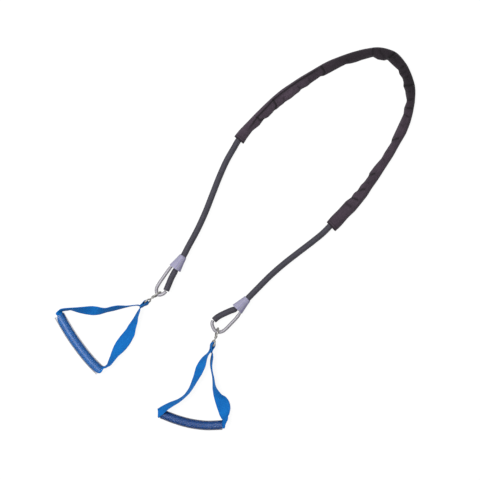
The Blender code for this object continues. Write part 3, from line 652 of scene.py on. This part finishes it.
INNER_EDGE = [(241.8, 146.0), (246.4, 138.4), (252.3, 130.4), (259.2, 125.1), (263.8, 118.7), (267.9, 116.9), (272.1, 112.7),
              (274.4, 109.7), (276.7, 108.8), (279.4, 106.1), (283.1, 103.5), (284.7, 101.7), (291.4, 97.6), (295.3, 94.2),
              (299.1, 91.5), (301.1, 88.8), (307.4, 85.7), (311.3, 82.3), (317.1, 78.4), (320.7, 75.7), (323.6, 75.5),
              (329.2, 72.6), (338.9, 67.3), (346.2, 63.6), (351.0, 63.0), (355.9, 61.7), (362.2, 59.4), (373.2, 56.3),
              (378.0, 59.1), (384.7, 60.1), (387.5, 59.1), (392.8, 64.4), (398.9, 69.8), (399.7, 73.6), (403.0, 78.2),
              (404.0, 82.3), (403.8, 85.9), (405.6, 90.5), (406.3, 95.6), (407.4, 100.7), (404.6, 107.8), (404.0, 113.9),
              (399.1, 124.4), (392.4, 138.8), (391.6, 142.5), (385.2, 152.2), (382.0, 158.1), (375.0, 166.1), (369.7, 173.1),
              (369.1, 175.7), (364.9, 181.6), (361.2, 185.2), (357.8, 190.7), (354.4, 193.1), (351.5, 197.6), (346.2, 201.3),
              (338.9, 209.5), (331.5, 216.8), (324.2, 225.6)]
# Lengthwise seam on the upper side, and the creases across: points, depth, half width (mm).
SEAM = [(247.3, 131.1), (253.7, 122.8), (257.4, 117.3), (267.0, 107.2), (273.5, 99.9), (283.1, 92.2), (290.0, 87.0), (300.4, 80.0),
        (312.2, 73.0), (321.9, 67.0), (329.2, 63.6), (338.4, 59.4), (349.0, 55.6)]
CREASES = [([(257.4, 117.3), (260.1, 120.3), (263.6, 119.0)], 1.5, 1.3), ([(273.5, 99.9), (276.6, 105.8), (274.9, 109.5)], 1.5, 1.2),
           ([(283.6, 97.5), (284.6, 101.5)], 0.9, 1.0), ([(298.0, 86.5), (301.0, 88.8)], 1.0, 1.0), ([(309.0, 79.0), (311.2, 82.2)], 0.9, 1.0),
           ([(321.9, 66.8), (324.8, 72.1), (323.0, 75.4)], 2.0, 1.4), ([(347.0, 60.0), (350.5, 62.8)], 1.0, 1.3),
           ([(373.0, 49.5), (373.2, 56.0)], 1.0, 1.2), ([(380.0, 51.0), (384.5, 57.0)], 0.8, 1.6),
           ([(396.0, 52.6), (391.4, 56.0), (387.6, 59.0)], 2.6, 1.7), ([(394.5, 57.5), (396.8, 63.0)], 0.7, 1.2),
           ([(403.4, 66.4), (399.0, 69.6)], 1.7, 1.3), ([(405.8, 71.8), (400.0, 74.6)], 1.0, 1.0), ([(408.0, 76.6), (403.2, 78.6)], 1.2, 1.1),
           ([(413.4, 84.4), (409.0, 85.8), (404.2, 85.4)], 2.0, 1.4), ([(410.0, 92.0), (405.8, 91.2)], 0.8, 1.0),
           ([(412.6, 99.0), (407.4, 100.6)], 1.0, 1.3), ([(411.6, 108.4), (404.8, 107.9)], 1.2, 1.5), ([(408.6, 117.0), (404.0, 114.6)], 1.1, 1.2),
           ([(403.0, 126.0), (399.6, 124.0)], 0.7, 1.2), ([(398.0, 138.4), (392.2, 140.4)], 1.4, 1.3), ([(388.6, 151.0), (385.0, 152.4)], 0.8, 1.1),
           ([(384.6, 160.0), (382.0, 158.4)], 0.8, 1.0), ([(374.5, 173.6), (369.4, 175.4)], 1.4, 1.4), ([(368.6, 183.0), (364.8, 181.8)], 0.7, 1.1),
           ([(364.6, 189.0), (358.0, 190.6)], 1.3, 1.4), ([(357.4, 199.6), (351.6, 197.8)], 1.4, 1.4), ([(350.8, 206.6), (346.0, 203.2)], 0.9, 1.6)]


def dense_line(pts, step=0.2):
    out = []
    for (x0, y0), (x1, y1) in zip(pts, pts[1:]):
        k = max(1, int(round(sqrt((x1 - x0) ** 2 + (y1 - y0) ** 2) / step)))
        out += [(x0 + (x1 - x0) * j / k, y0 + (y1 - y0) * j / k) for j in range(k)]
    return np.array(out + [pts[-1]], float)


def line_distance(xy, pts):
    """Distance of grid points (K, 2) from a polyline."""
    best = np.full(len(xy), 1e9)
    for (x0, y0), (x1, y1) in zip(pts, pts[1:]):
        d = np.array((x1 - x0, y1 - y0))
        q = xy - np.array((x0, y0))
        t = np.clip(q @ d / (d @ d), 0.0, 1.0)
        best = np.minimum(best, np.linalg.norm(q - t[:, None] * d, axis=1))
    return best


def fabric_noise(u, v, w):
    return np.array([noise.noise(Vector((a, b, w))) for a, b in zip(u.ravel(), v.ravel())]).reshape(u.shape)


def build_sleeve():
    path = [p for p, _ in resample([grid(x, y, 6.5) for x, y in UNDER_SLEEVE], 0.0011)]
    ts = tangents(path)
    acc = np.array(arc(path))
    total = acc[-1]
    n, m = len(path), 64
    gx = np.array([p.x * UNITS_PER_M + GRID_CX for p in path])
    gy = np.array([GRID_CY - p.y * UNITS_PER_M for p in path])
    tx, ty = np.array([t.x for t in ts]), np.array([-t.y for t in ts])          # grid y runs down
    sx, sy = np.array([t.cross(Z).normalized().x for t in ts]), np.array([-t.cross(Z).normalized().y for t in ts])

    def edge(line, sign, soft):
        d = dense_line(line)
        a = np.zeros(n)
        for i in range(n):
            q = d - np.array((gx[i], gy[i]))
            u, w = q @ np.array((tx[i], ty[i])), q @ np.array((sx[i], sy[i])) * sign
            cost = np.abs(u) + np.where((w > 1.0) & (w < 11.0), 0.0, 50.0)
            j = int(np.argmin(cost))
            a[i] = w[j] * sign
        pad = np.pad(a, soft, mode='edge')
        return np.convolve(pad, np.ones(2 * soft + 1) / (2 * soft + 1), 'valid') * 1000.0 / UNITS_PER_M + sign * 0.5
    a_out, a_in = edge(OUTER_EDGE, -1, 4), edge(INNER_EDGE, 1, 1)

    f = acc / total
    half = m // 2
    # top runs from the outer edge to the inner, bottom back again
    k = np.arange(m)
    ang = 2 * pi * k / m
    t_lat = -np.cos(ang)                                   # -1 outer, +1 inner, and back
    top = np.sin(ang) > -1e-9
    T = np.broadcast_to(t_lat, (n, m))
    TOP = np.broadcast_to(top, (n, m))
    mid, wid = ((a_out + a_in) / 2)[:, None], ((a_in - a_out) / 2)[:, None]
    A = mid + wid * T
    arm = np.array([smooth01((0.47 - x) / 0.07) for x in f])[:, None]          # 1 on the first arm, 0 on the other
    # height of the upper side: over the cord in the middle, steep to the outside, gentle to the inside
    peak = -0.30 * arm + -0.22 * (1 - arm)
    tt = np.where(T < peak, (T - peak) / (1 + peak), (T - peak) / (1 - peak))
    rim = 3.4
    flank = np.where(T < peak, (1 - np.abs(tt) ** 2.3) ** 0.52, (1 - np.abs(tt) ** 2.1) ** 0.60)
    H = rim + (12.35 - rim) * np.clip(flank, 0, 1)
    # never lower than the cord itself
    cord_top = np.where(np.abs(A) < 5.6, 6.4 + np.sqrt(np.clip(5.75 ** 2 - A ** 2, 0, None)), 0.0)
    H = np.maximum(H, cord_top)
    B = 0.5 + (rim - 0.5) * np.abs(T) ** 5
    S = np.broadcast_to(acc[:, None], (n, m))
    X = gx[:, None] + sx[:, None] * A * UNITS_PER_M / 1000.0
    Y = gy[:, None] + sy[:, None] * A * UNITS_PER_M / 1000.0
    xy = np.stack([X.ravel(), Y.ravel()], -1)
    px = 1000.0 / UNITS_PER_M
    end = np.minimum(S, total - S)
    hem = np.clip(1.0 - (end - 0.0050) / 0.0008, 0, 1)
    free = 1.0 - hem
    tone = np.ones((n, m))
    dz = np.zeros((n, m))
    # seam
    d = (line_distance(xy, SEAM) * px).reshape(n, m)
    fade = np.array([smooth01((x - 0.02) / 0.04) * smooth01((0.30 - x) / 0.05) for x in f])[:, None]
    dz += fade * (-1.5 * np.exp(-(d / 0.95) ** 2) + 0.55 * np.exp(-((d - 2.1) / 1.0) ** 2))
    # painted shade along the seam groove
    tone *= 1 - 0.84 * fade * np.exp(-(d / 1.75) ** 2)
    # creases
    for pts, depth, hw in CREASES:
        d = (line_distance(xy, pts) * px).reshape(n, m)
        dz += -depth * np.exp(-(d / hw) ** 2) + 0.38 * depth * np.exp(-((d - 2.3 * hw) / (1.25 * hw)) ** 2)
        # painted shade in each crease
        tone *= 1 - min(0.84, 0.55 * depth) * np.exp(-(d / (1.45 * hw)) ** 2)
    n1 = fabric_noise(S / 0.010, A / 9.0, 3.0)
    n2 = fabric_noise(S / 0.0045, A / 5.0, 8.0)
    n3 = fabric_noise(S / 0.060, A / 4.0, 14.0)
    dz += 0.55 * n1 + 0.22 * n2 + 0.45 * n3
    edge_fade = np.clip((1 - np.abs(T)) / 0.25, 0.15, 1)
    dz *= free * edge_fade
    H2 = np.maximum(H + dz, np.where(np.abs(A) < 4.8, 6.4 + np.sqrt(np.clip(5.55 ** 2 - A ** 2, 0, None)), rim))
    H2 += hem * 0.35
    # darker round the bend and a little darker along the second arm; painted shade where the cloth turns under at the
    # edges
    bend = np.array([smooth01((x - 0.18) / 0.18) * smooth01((0.685 - x) / 0.11) for x in f])[:, None]
    tone *= (1 - 0.68 * bend) * (1 - 0.14 * (1 - arm))
    tone *= 1 - 0.42 * np.clip((np.abs(T) - 0.78) / 0.2, 0, 1)
    # painted shade at the open ends, where the mouth's inside shows; then a dark line along the hem's inner edge
    tone *= np.where(end < 0.0024, 0.35, 1.0)
    tone *= 1 - 0.45 * np.exp(-((end - 0.0058) / 0.0007) ** 2)
    zz = np.where(TOP, H2, np.minimum(B, H2 - 0.8))
    zz = np.where(np.abs(np.abs(T) - 1) < 1e-6, rim, zz)
    rings = np.stack([(X - GRID_CX) / UNITS_PER_M, (GRID_CY - Y) / UNITS_PER_M, zz * MM], -1)
    ob = tube("fabric_sleeve", rings, acc, [0.050 * j / m for j in range(m + 1)], M_SLEEVE, caps=False, shade_tone=tone, sharp=80.0)
    sol = ob.modifiers.new("cloth_thickness", 'SOLIDIFY')
    sol.thickness = 0.0007
    sol.offset = -1.0
    return ob, float(total)


sleeve, SLEEVE_LEN = build_sleeve()
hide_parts("sleeve")
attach(sleeve, "cord_assembly")


# ------------------------------------------------------------------ ends
def cubic(a, b, c, d, f):
    return (b * 2 + (c - a) * f + (a * 2 - b * 5 + c * 4 - d) * (f * f) + (b * 3 - a - c * 3 + d) * (f ** 3)) * 0.5


def webbing(name, ctrl, full_curl, across=13, step=0.0011):
    """Closed loop of webbing with rounded selvedges. Each control: point, width direction, width, curl."""
    pos = resample([c[0] for c in ctrl], step, closed=True)
    pts = [p for p, _ in pos]
    ts = tangents(pts, closed=True)
    n_ctrl = len(ctrl)
    rings, m = [], 0
    for idx, ((p, u), t) in enumerate(zip(pos, ts)):
        i, f = int(u) % n_ctrl, u - int(u)
        a, b = ctrl[i], ctrl[(i + 1) % n_ctrl]
        z0, z1 = ctrl[i - 1], ctrl[(i + 2) % n_ctrl]
        w = cubic(z0[1], a[1], b[1], z1[1], f)
        w = (w - t * w.dot(t)).normalized()
        nrm = w.cross(t)
        width = cubic(z0[2], a[2], b[2], z1[2], f)
        f = f * f * (3 - 2 * f)
        curl = radians(a[3] + (b[3] - a[3]) * f)
        k = min(1.0, curl / radians(full_curl))
        k = k * k * (3 - 2 * k)
        curl = max(curl, 0.02)
        r = width / curl
        sec = []
        hw, ht = width / 2, WEB_T / 2
        for j in range(across):
            q = -hw + 0.5 + (width - 1.0) * j / (across - 1)
            sec.append((q, ht * (1.0 if 0 < j < across - 1 else 0.92)))
        sec.append((hw - 0.12, ht * 0.5))
        sec.append((hw, 0.0))
        sec.append((hw - 0.12, -ht * 0.5))
        for j in range(across):
            q = hw - 0.5 - (width - 1.0) * j / (across - 1)
            sec.append((q, -ht * (1.0 if 0 < j < across - 1 else 0.92)))
        sec.append((-hw + 0.12, -ht * 0.5))
        sec.append((-hw, 0.0))
        sec.append((-hw + 0.12, ht * 0.5))
        ring = []
        for q, off in sec:
            ang = q / r
            x, y = (r + off) * sin(ang), (r + off) * cos(ang) - r * (1.0 - k)
            ring.append(p + w * (x * MM) + nrm * (y * MM))
        rings.append(ring)
        m = len(ring)
    acc = arc(pts)
    us = acc + [acc[-1] + (pts[0] - pts[-1]).length]
    vs, q0 = [], 0.0
    sec_q = [0.0]
    for j in range(1, m + 1):
        d = (Vector(rings[0][j % m]) - Vector(rings[0][j - 1])).length
        sec_q.append(sec_q[-1] + d)
    return tube(name, rings, us, sec_q, M_WEB, closed=True, sharp=60.0), us[-1]


def hose_grip(name, ctrl, r_out, r_bore, mat):
    pts = [p for p, _ in resample(ctrl, 0.0025)]
    ts = tangents(pts)
    acc = arc(pts)
    sides = 48
    n = len(pts)

    def ring(i, rad, push=0.0):
        t = ts[i]
        a = t.cross(Z).normalized()
        b = a.cross(t).normalized()
        return [pts[i] + t * (push * MM) + (a * cos(2 * pi * k / sides) + b * sin(2 * pi * k / sides)) * (rad * MM) for k in range(sides)]
    rings, us = [], []
    rings.append(ring(0, r_out - 0.12)); us.append(0.0)
    rings.append(ring(0, r_out, 0.12)); us.append(0.0004)
    for i in range(1, n - 1):
        rings.append(ring(i, r_out)); us.append(acc[i])
    rings.append(ring(n - 1, r_out, -0.12)); us.append(acc[-1])
    rings.append(ring(n - 1, r_out - 0.12)); us.append(acc[-1] + 0.0003)
    rings.append(ring(n - 1, r_bore + 0.1)); us.append(acc[-1] + 0.0016)
    rings.append(ring(n - 1, r_bore, -0.1)); us.append(acc[-1] + 0.002)
    for i in range(n - 2, 0, -1):
        rings.append(ring(i, r_bore)); us.append(2 * acc[-1] - acc[i] + 0.002)
    rings.append(ring(0, r_bore, 0.1)); us.append(2 * acc[-1] + 0.002)
    rings.append(ring(0, r_bore + 0.1)); us.append(2 * acc[-1] + 0.0024)
    us.append(us[-1] + 0.0014)
    vs = [2 * pi * r_out * MM * k / sides for k in range(sides + 1)]
    return tube(name, rings, us, vs, mat, closed=True, sharp=30.0)


def strap_controls(e, side):
    up = Z.copy()
    tab = e.up.copy()
    g = WEB_W_EYE
    ctrl = [(e.snap(31.0, 0, 0.9), tab, g, 0), (e.snap(34.5, 0, 1.1), tab, g, 0)]
    if side == "left":
        ctrl += [(grid(138.0, 305.2, 11.0), gdir(0.05, -0.10, 0.99), 17, 0),
                 (grid(132.5, 305.6, 11.0), gdir(0.0, -0.07, 0.99), 18, 0),
                 (grid(126.5, 306.5, 10.9), gdir(0.0, -0.135, 0.99), WEB_W, 0),
                 (grid(122.5, 306.9, 10.7), gdir(0.0, -0.24, 0.97), WEB_W, 0),
                 (grid(118.0, 307.5, 10.4), gdir(0.0, -0.35, 0.937), WEB_W, 0),
                 (grid(112.5, 308.7, 10.2), gdir(0.0, -0.40, 0.917), WEB_W, 0),
                 (grid(106.5, 310.1, 10.2), gdir(0.0, -0.375, 0.927), WEB_W, 0),
                 (grid(102.5, 310.55, 9.9), gdir(0.0, -0.495, 0.869), WEB_W, 0),
                 (grid(98.5, 310.7, 9.2), gdir(0.0, -0.67, 0.742), WEB_W, 0),
                 (grid(93.0, 310.7, 8.4), gdir(0.0, -0.77, 0.638), WEB_W, 0),
                 (grid(88.5, 310.5, 8.6), gdir(0.0, -0.72, 0.694), WEB_W, 0),
                 (grid(84.5, 310.35, 9.1), gdir(0.0, -0.63, 0.777), WEB_W, 0),
                 (grid(78.5, 309.9, 9.8), gdir(0.0, -0.47, 0.883), WEB_W, 0),
                 (grid(74.5, 309.4, 10.3), gdir(0.0, -0.33, 0.944), WEB_W, 0),
                 (grid(70.5, 309.0, 10.6), gdir(0.0, -0.21, 0.978), WEB_W, 0),
                 (grid(66.4, 308.9, 10.6), gdir(-0.02, -0.22, 0.975), WEB_W, 10),
                 (grid(61.6, 309.1, 10.4), gdir(-0.12, -0.22, 0.965), WEB_W - 1, 25),
                 (grid(58.5, 310.6, 10.1), gdir(-0.34, -0.12, 0.93), WEB_W - 1, 60),
                 (grid(57.4, 313.0, 9.8), gdir(-0.60, 0.14, 0.79), WEB_W - 1, 115)]
        hose = [(59.2, 315.2), (71.6, 336.0), (82.8, 351.6), (91.5, 362.0), (100.2, 370.8)]
        out = [(grid(101.4, 371.0, 9.5), gdir(-0.50, 0.54, 0.68), WEB_W - 2, 150),
               (grid(104.6, 370.0, 9.9), gdir(-0.20, 0.22, 0.96), WEB_W - 1, 100),
               (grid(107.2, 367.4, 10.4), gdir(0.10, 0.08, 0.99), WEB_W, 30),
               (grid(108.9, 364.5, 10.3), gdir(0.24, 0.18, 0.954), WEB_W, 0),
               (grid(111.3, 360.5, 10.0), gdir(0.38, 0.25, 0.89), WEB_W, 0),
               (grid(113.6, 356.5, 9.2), gdir(0.48, 0.32, 0.818), WEB_W, 0),
               (grid(116.1, 352.4, 7.9), gdir(0.61, 0.43, 0.665), 20.5, 0),
               (grid(121.4, 345.0, 6.0), gdir(0.81, 0.56, 0.17), 21, 0),
               (grid(124.6, 340.7, 5.8), gdir(0.84, 0.53, 0.12), 21, 0),
               (grid(127.5, 336.5, 6.4), gdir(0.83, 0.46, 0.31), 20.5, 0),
               (grid(130.1, 332.4, 7.4), gdir(0.78, 0.39, 0.49), WEB_W, 0),
               (grid(131.6, 328.5, 8.4), gdir(0.67, 0.33, 0.667), WEB_W, 0),
               (grid(133.5, 324.4, 9.3), gdir(0.55, 0.25, 0.797), WEB_W, 0),
               (grid(135.3, 320.4, 10.1), gdir(0.42, 0.19, 0.887), WEB_W, 0),
               (grid(136.6, 316.4, 10.7), gdir(0.29, 0.13, 0.947), WEB_W - 1, 0),
               (grid(138.3, 312.4, 11.0), gdir(0.20, 0.12, 0.97), 18, 0),
               (grid(139.9, 309.2, 11.0), gdir(0.10, 0.06, 0.99), 17, 0)]
    else:
        ctrl += [(grid(208.1, 353.7, 11.0), gdir(0.15, 0.08, 0.98), 17, 0),
                 (grid(205.9, 356.8, 10.8), gdir(0.30, 0.14, 0.94), 18, 0),
                 (grid(203.8, 360.6, 10.0), gdir(0.45, 0.25, 0.86), WEB_W, 0),
                 (grid(201.9, 364.6, 9.2), gdir(0.60, 0.28, 0.75), WEB_W, 0),
                 (grid(199.9, 368.6, 9.0), gdir(0.63, 0.28, 0.72), WEB_W, 0),
                 (grid(198.4, 372.6, 9.3), gdir(0.56, 0.30, 0.77), WEB_W, 0),
                 (grid(196.6, 376.6, 9.8), gdir(0.45, 0.25, 0.86), WEB_W, 0),
                 (grid(194.7, 380.6, 10.2), gdir(0.37, 0.20, 0.907), WEB_W, 0),
                 (grid(190.7, 388.5, 10.6), gdir(0.23, 0.14, 0.963), WEB_W, 0),
                 (grid(188.0, 392.4, 10.8), gdir(0.18, 0.14, 0.97), WEB_W, 0),
                 (grid(184.3, 396.4, 10.8), gdir(0.11, 0.13, 0.985), WEB_W, 0),
                 (grid(178.7, 400.6, 10.8), gdir(0.13, 0.19, 0.973), WEB_W, 0),
                 (grid(171.4, 404.2, 11.2), gdir(0.18, 0.32, 0.93), WEB_W, 0),
                 (grid(166.2, 407.1, 12.4), gdir(0.22, 0.40, 0.89), WEB_W, 0),
                 (grid(162.2, 409.9, 13.8), gdir(0.26, 0.58, 0.77), 18, 0),
                 (grid(159.8, 412.0, 13.9), gdir(0.10, 0.93, 0.36), 14.5, 0),
                 (grid(158.2, 412.8, 11.6), gdir(0, 1, 0), 15, 0),
                 (grid(159.3, 413.1, 9.0), gdir(-0.15, 0.98, 0), 16, 25)]
        hose = [(161.5, 413.8), (169.4, 417.0), (178.0, 420.1), (190.8, 423.5), (206.0, 425.4), (222.3, 425.0)]
        out = [(grid(223.9, 425.4, 8.7), gdir(0.10, 0.78, 0.60), WEB_W - 1, 150),
               (grid(225.0, 423.0, 9.6), gdir(0.28, 0.30, 0.91), WEB_W - 1, 80),
               (grid(225.6, 418.8, 10.0), gdir(0.47, 0.0, 0.88), WEB_W, 20),
               (grid(225.0, 416.5, 9.2), gdir(0.68, 0.0, 0.73), WEB_W, 0),
               (grid(224.4, 412.5, 7.4), gdir(0.90, 0.0, 0.44), 20.5, 0),
               (grid(224.0, 408.6, 6.0), gdir(0.99, -0.10, 0.12), 22, 0),
               (grid(223.0, 404.6, 5.9), gdir(0.97, -0.22, 0.06), 22.8, 0),
               (grid(221.0, 400.6, 6.3), gdir(0.90, -0.34, 0.20), 21.5, 0),
               (grid(218.3, 396.5, 7.8), gdir(0.67, -0.34, 0.66), WEB_W, 0),
               (grid(216.4, 392.6, 9.3), gdir(0.50, -0.20, 0.84), WEB_W, 0),
               (grid(214.8, 388.6, 10.2), gdir(0.35, -0.07, 0.93), WEB_W, 0),
               (grid(213.9, 384.0, 10.7), gdir(0.20, -0.04, 0.98), WEB_W, 0),
               (grid(213.1, 377.0, 10.8), gdir(0.14, 0.0, 0.99), WEB_W, 0),
               (grid(212.0, 372.0, 10.8), gdir(0.12, 0.0, 0.99), WEB_W, 0),
               (grid(211.2, 366.0, 10.8), gdir(0.15, 0.0, 0.985), WEB_W, 0),
               (grid(211.4, 361.0, 10.9), gdir(0.20, 0.0, 0.98), WEB_W - 1, 0),
               (grid(212.0, 357.0, 11.0), gdir(0.20, 0.0, 0.98), 18, 0),
               (grid(212.2, 353.4, 11.0), gdir(0.10, 0.0, 0.99), 17, 0)]
    hose_ctrl = [grid(x, y, HOSE_Z[side]) for x, y in hose]
    inside = [p for p, _ in resample(hose_ctrl, 0.012)]
    ti = tangents(inside)
    w0, w1 = ctrl[-1][1], out[0][1]
    for i, p in enumerate(inside):
        f = i / (len(inside) - 1)
        flat = ti[i].cross(Z).normalized()
        if flat.dot(w0) < -0.1 and side == "right":
            flat = -flat
        k = smooth01(f / 0.06) * smooth01((1.0 - f) / 0.06)
        w = (w0 if f < 0.5 else w1).lerp(flat, k)
        ctrl.append((p, w.normalized(), WEB_W, HOSE_CURL[side]))
    ctrl += out
    ctrl += [(e.snap(34.5, 0, -1.1), tab, g, 0), (e.snap(31.0, 0, -0.9), tab, g, 0),
             (e.snap(28.0, 0, -1.6), tab, g, 0), (e.snap(25.6, 0, -2.4), tab, g, 0)]
    reach = 4.2 if side == "left" else 5.6
    for a, narrow in ((-110, 0.5), (-145, 2.0), (180, 3.5), (145, 2.0), (110, 0.5)):
        c = cos(radians(a))
        ctrl.append((e.snap(SNAP_BAR_S + reach * c, 0, 2.5 * sin(radians(a))), tab, g - narrow, 0))
    ctrl += [(e.snap(25.6, 0, 2.4), tab, g, 0), (e.snap(28.0, 0, 1.6), tab, g, 0)]
    return ctrl, hose_ctrl


def build_end(e, side):
    # cone: tapered moulding with a rolled rim, open mouth
    prof = [(0.0, 9.9), (0.05, 10.3), (-0.35, 10.72), (-1.0, 10.82), (-1.8, 10.66), (-4.0, 10.2), (-7.0, 9.58), (-10.5, 8.88),
            (-14.0, 8.2), (-17.5, 7.58), (-21.0, 7.02), (-23.4, 6.64), (-24.5, 6.4), (-25.0, 6.0), (-25.0, 5.5), (-24.6, 5.35),
            (-17.0, 5.35), (-12.4, 7.3), (-11.6, 8.0), (-4.0, 8.6), (-0.4, 9.45)]
    cone = lathe("end_cone_" + side, prof, e.o, e.u, e.u.cross(Z), M_CONE)
    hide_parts("cone_" + side)
    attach(cone, "cord_assembly")

    # wire hook
    pts = []
    for i in range(17):
        f = i / 16
        a = -2 * pi * 0.95 * (1 - f)
        pts.append(e.at(-9.6 + 5.2 * f, HOOK_COIL_R * cos(a), HOOK_COIL_R * sin(a)))
    pts += [e.at(u, v) for u, v in HOOK_PATH[side]]
    hook = wire("steel_hook_" + side, pts, 2.4 * MM, M_HOOK, 0.0009, 28, grow=lambda q: 1.0 + 0.21 * smooth01(((q - e.o).dot(e.u) / MM - 0.5) / 6.0))
    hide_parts("wire_hook_" + side)
    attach(hook, "cord_assembly")

    # tail of the cord, bending out of the cone's mouth
    ctrl = [e.at(-4.5, -0.2), e.at(-2.3, -1.01), e.at(-0.8, -1.555)] + [e.at(u, v) for u, v in TAIL_PATH[side]]
    pts = [p for p, _ in resample(ctrl, 0.0008)]
    n = len(pts)

    def rad(i, s):
        r = 3.0 + 2.2 * smooth01((s / MM - 0.5) / 9.0)
        back = (n - 1 - i) * 0.8
        return (r - 0.35 * max(0.0, 1 - back / 0.8)) * MM
    rings, acc, h = cord_rings(pts, rad, 44)
    # softened cut: a shallow ring of sheath round the core
    last = rings[-1]
    c = last.mean(0)
    t = np.array((pts[-1] - pts[-2]).normalized())
    for scale, push in ((0.86, 0.05), (0.80, -0.10), (0.40, 0.05), (0.04, 0.12)):
        rings = np.concatenate([rings, (c + (last - c) * scale + t * push * MM)[None]])
        acc = np.concatenate([acc, [acc[-1] + 0.0005]])
        h = np.concatenate([h, np.full((1, 44), 0.3)])
    tail = tube("cord_end_" + side, rings, acc, [2 * pi * 5 * MM * k / 44 for k in range(45)], M_CORD, shade_tone=h, sharp=70.0)
    tail.data.materials.append(M_CORE)
    rows = len(rings) - 1
    for i in range((rows - 3) * 44, rows * 44):
        tail.data.polygons[i].material_index = 1
    tail.data.polygons[len(tail.data.polygons) - 1].material_index = 1
    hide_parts("cord_tail_" + side)
    e.at(-1.0, -1.4)[:]
    e.at(13.0, -6.5)[:]
    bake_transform(tail)

    # snap hook
    curl = []
    for i in range(13):
        a = radians(-75.0 - (360.0 - 165.0) * i / 12.0)
        curl.append((0.2 + SNAP_CURL_R * cos(a), -1.6 + SNAP_CURL_R * sin(a)))
    h_ = SNAP_EYE_H
    rest = [(5.6, 4.0), (8.8, 2.7), (12.0, 1.3), (14.4, 1.6), (15.9, 4.0), (16.6, 7.0), (18.6, h_), (21.8, h_),
            (SNAP_BAR_S, h_ - 2.2), (SNAP_BAR_S, 3.0), (SNAP_BAR_S, -3.0), (SNAP_BAR_S, -h_ + 2.2), (21.8, -h_), (18.6, -h_), (16.6, -7.0),
            (15.9, -4.4), (15.2, -2.6)]
    snap = wire("steel_snap_" + side, [e.snap(s, z) for s, z in curl + rest], 1.3 * MM, M_SNAP, 0.0006, 18)
    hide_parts("snap_" + side)
    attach(snap, "snap_hook_" + side)
    a, b = e.snap(7.0, 3.45), e.snap(10.6, 1.92)
    collar = lathe("leaf_collar_" + side, [(0.0, 2.1), (0.25, 2.35), (1.6, 2.35), (1.8, 2.2), (2.2, 2.2), (2.4, 2.35), (3.7, 2.35),
                                           (4.0, 2.1), (4.0, 1.75), (0.0, 1.75)], a, (b - a).normalized(), e.right, M_SNAP, sides=32)
    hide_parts("gate_collar_" + side)
    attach(collar, "snap_hook_" + side)
    root, tip = e.snap(7.5, -0.45), e.snap(1.3, -5.75)
    d = (tip - root).normalized()
    nrm = e.right.cross(d).normalized()
    rings, us = [], []
    for i in range(25):
        f = i / 24
        wide = (1.6 + 0.2 * smooth01(f / 0.2)) * sqrt(max(0.06, 1 - max(0.0, (f - 0.86) / 0.14) ** 2))
        c = root.lerp(tip, f) + nrm * (0.25 * MM * sin(pi * f))
        rings.append([c + e.right * (x * wide * MM) + nrm * (y * MM) for x, y in
                      ((-1, -0.15), (-0.9, -0.28), (0, -0.30), (0.9, -0.28), (1, -0.15), (1, 0.15), (0.9, 0.28), (0, 0.30), (-0.9, 0.28), (-1, 0.15))])
        us.append(f * 0.0082)
    leaf = tube("spring_leaf_" + side, rings, us, [0.0008 * k for k in range(11)], M_SNAP, sharp=50.0)
    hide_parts("snap_gate_" + side)
    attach(leaf, "gate_" + side)

    # webbing loop, sewn tack and hose grip
    ctrl, hose_ctrl = strap_controls(e, side)
    strap, length = webbing("webbing_loop_" + side, ctrl, HOSE_CURL[side])
    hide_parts("strap_" + side)
    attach(strap, "handle_" + side)
    stitch = frame["nodes"]["strap_stitch_" + side]
    stitch.data.materials.clear()
    stitch.data.materials.append(M_THREAD)
    grip = hose_grip("clear_grip_" + side, hose_ctrl, HOSE_R[side], HOSE_BORE_R[side], M_HOSE[side])
    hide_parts("grip_" + side)
    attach(grip, "hose_grip_" + side)
    return length


STRAP_LEN = [build_end(LEFT, "left"), build_end(RIGHT, "right")]

# ------------------------------------------------------------------ floor
fl = bpy.data.meshes.new("floor")
fl.from_pydata([(-4, -4, -0.0004), (4, -4, -0.0004), (4, 4, -0.0004), (-4, 4, -0.0004)], [], [(0, 1, 2, 3)])
floor_ob = bpy.data.objects.new("floor", fl)
sc.collection.objects.link(floor_ob)
fm, fnt, fb = new_mat("floor_pale", (0.07, 0.07, 0.07), 0.9)
ftc = node(fnt, "ShaderNodeTexCoord")
fn = noise_tex(fnt, ftc.outputs["Object"], 3.0, 2.0)
link(fnt, ramp(fnt, fn, [(0.3, (0.060, 0.060, 0.060)), (0.7, (0.066, 0.066, 0.066))]), fb.inputs["Base Color"])
fb.inputs["Specular IOR Level"].default_value = 0.1
fb.inputs["Emission Color"].default_value = (1.0, 1.0, 1.0, 1.0)
fb.inputs["Emission Strength"].default_value = 0.92
fl.materials.append(fm)
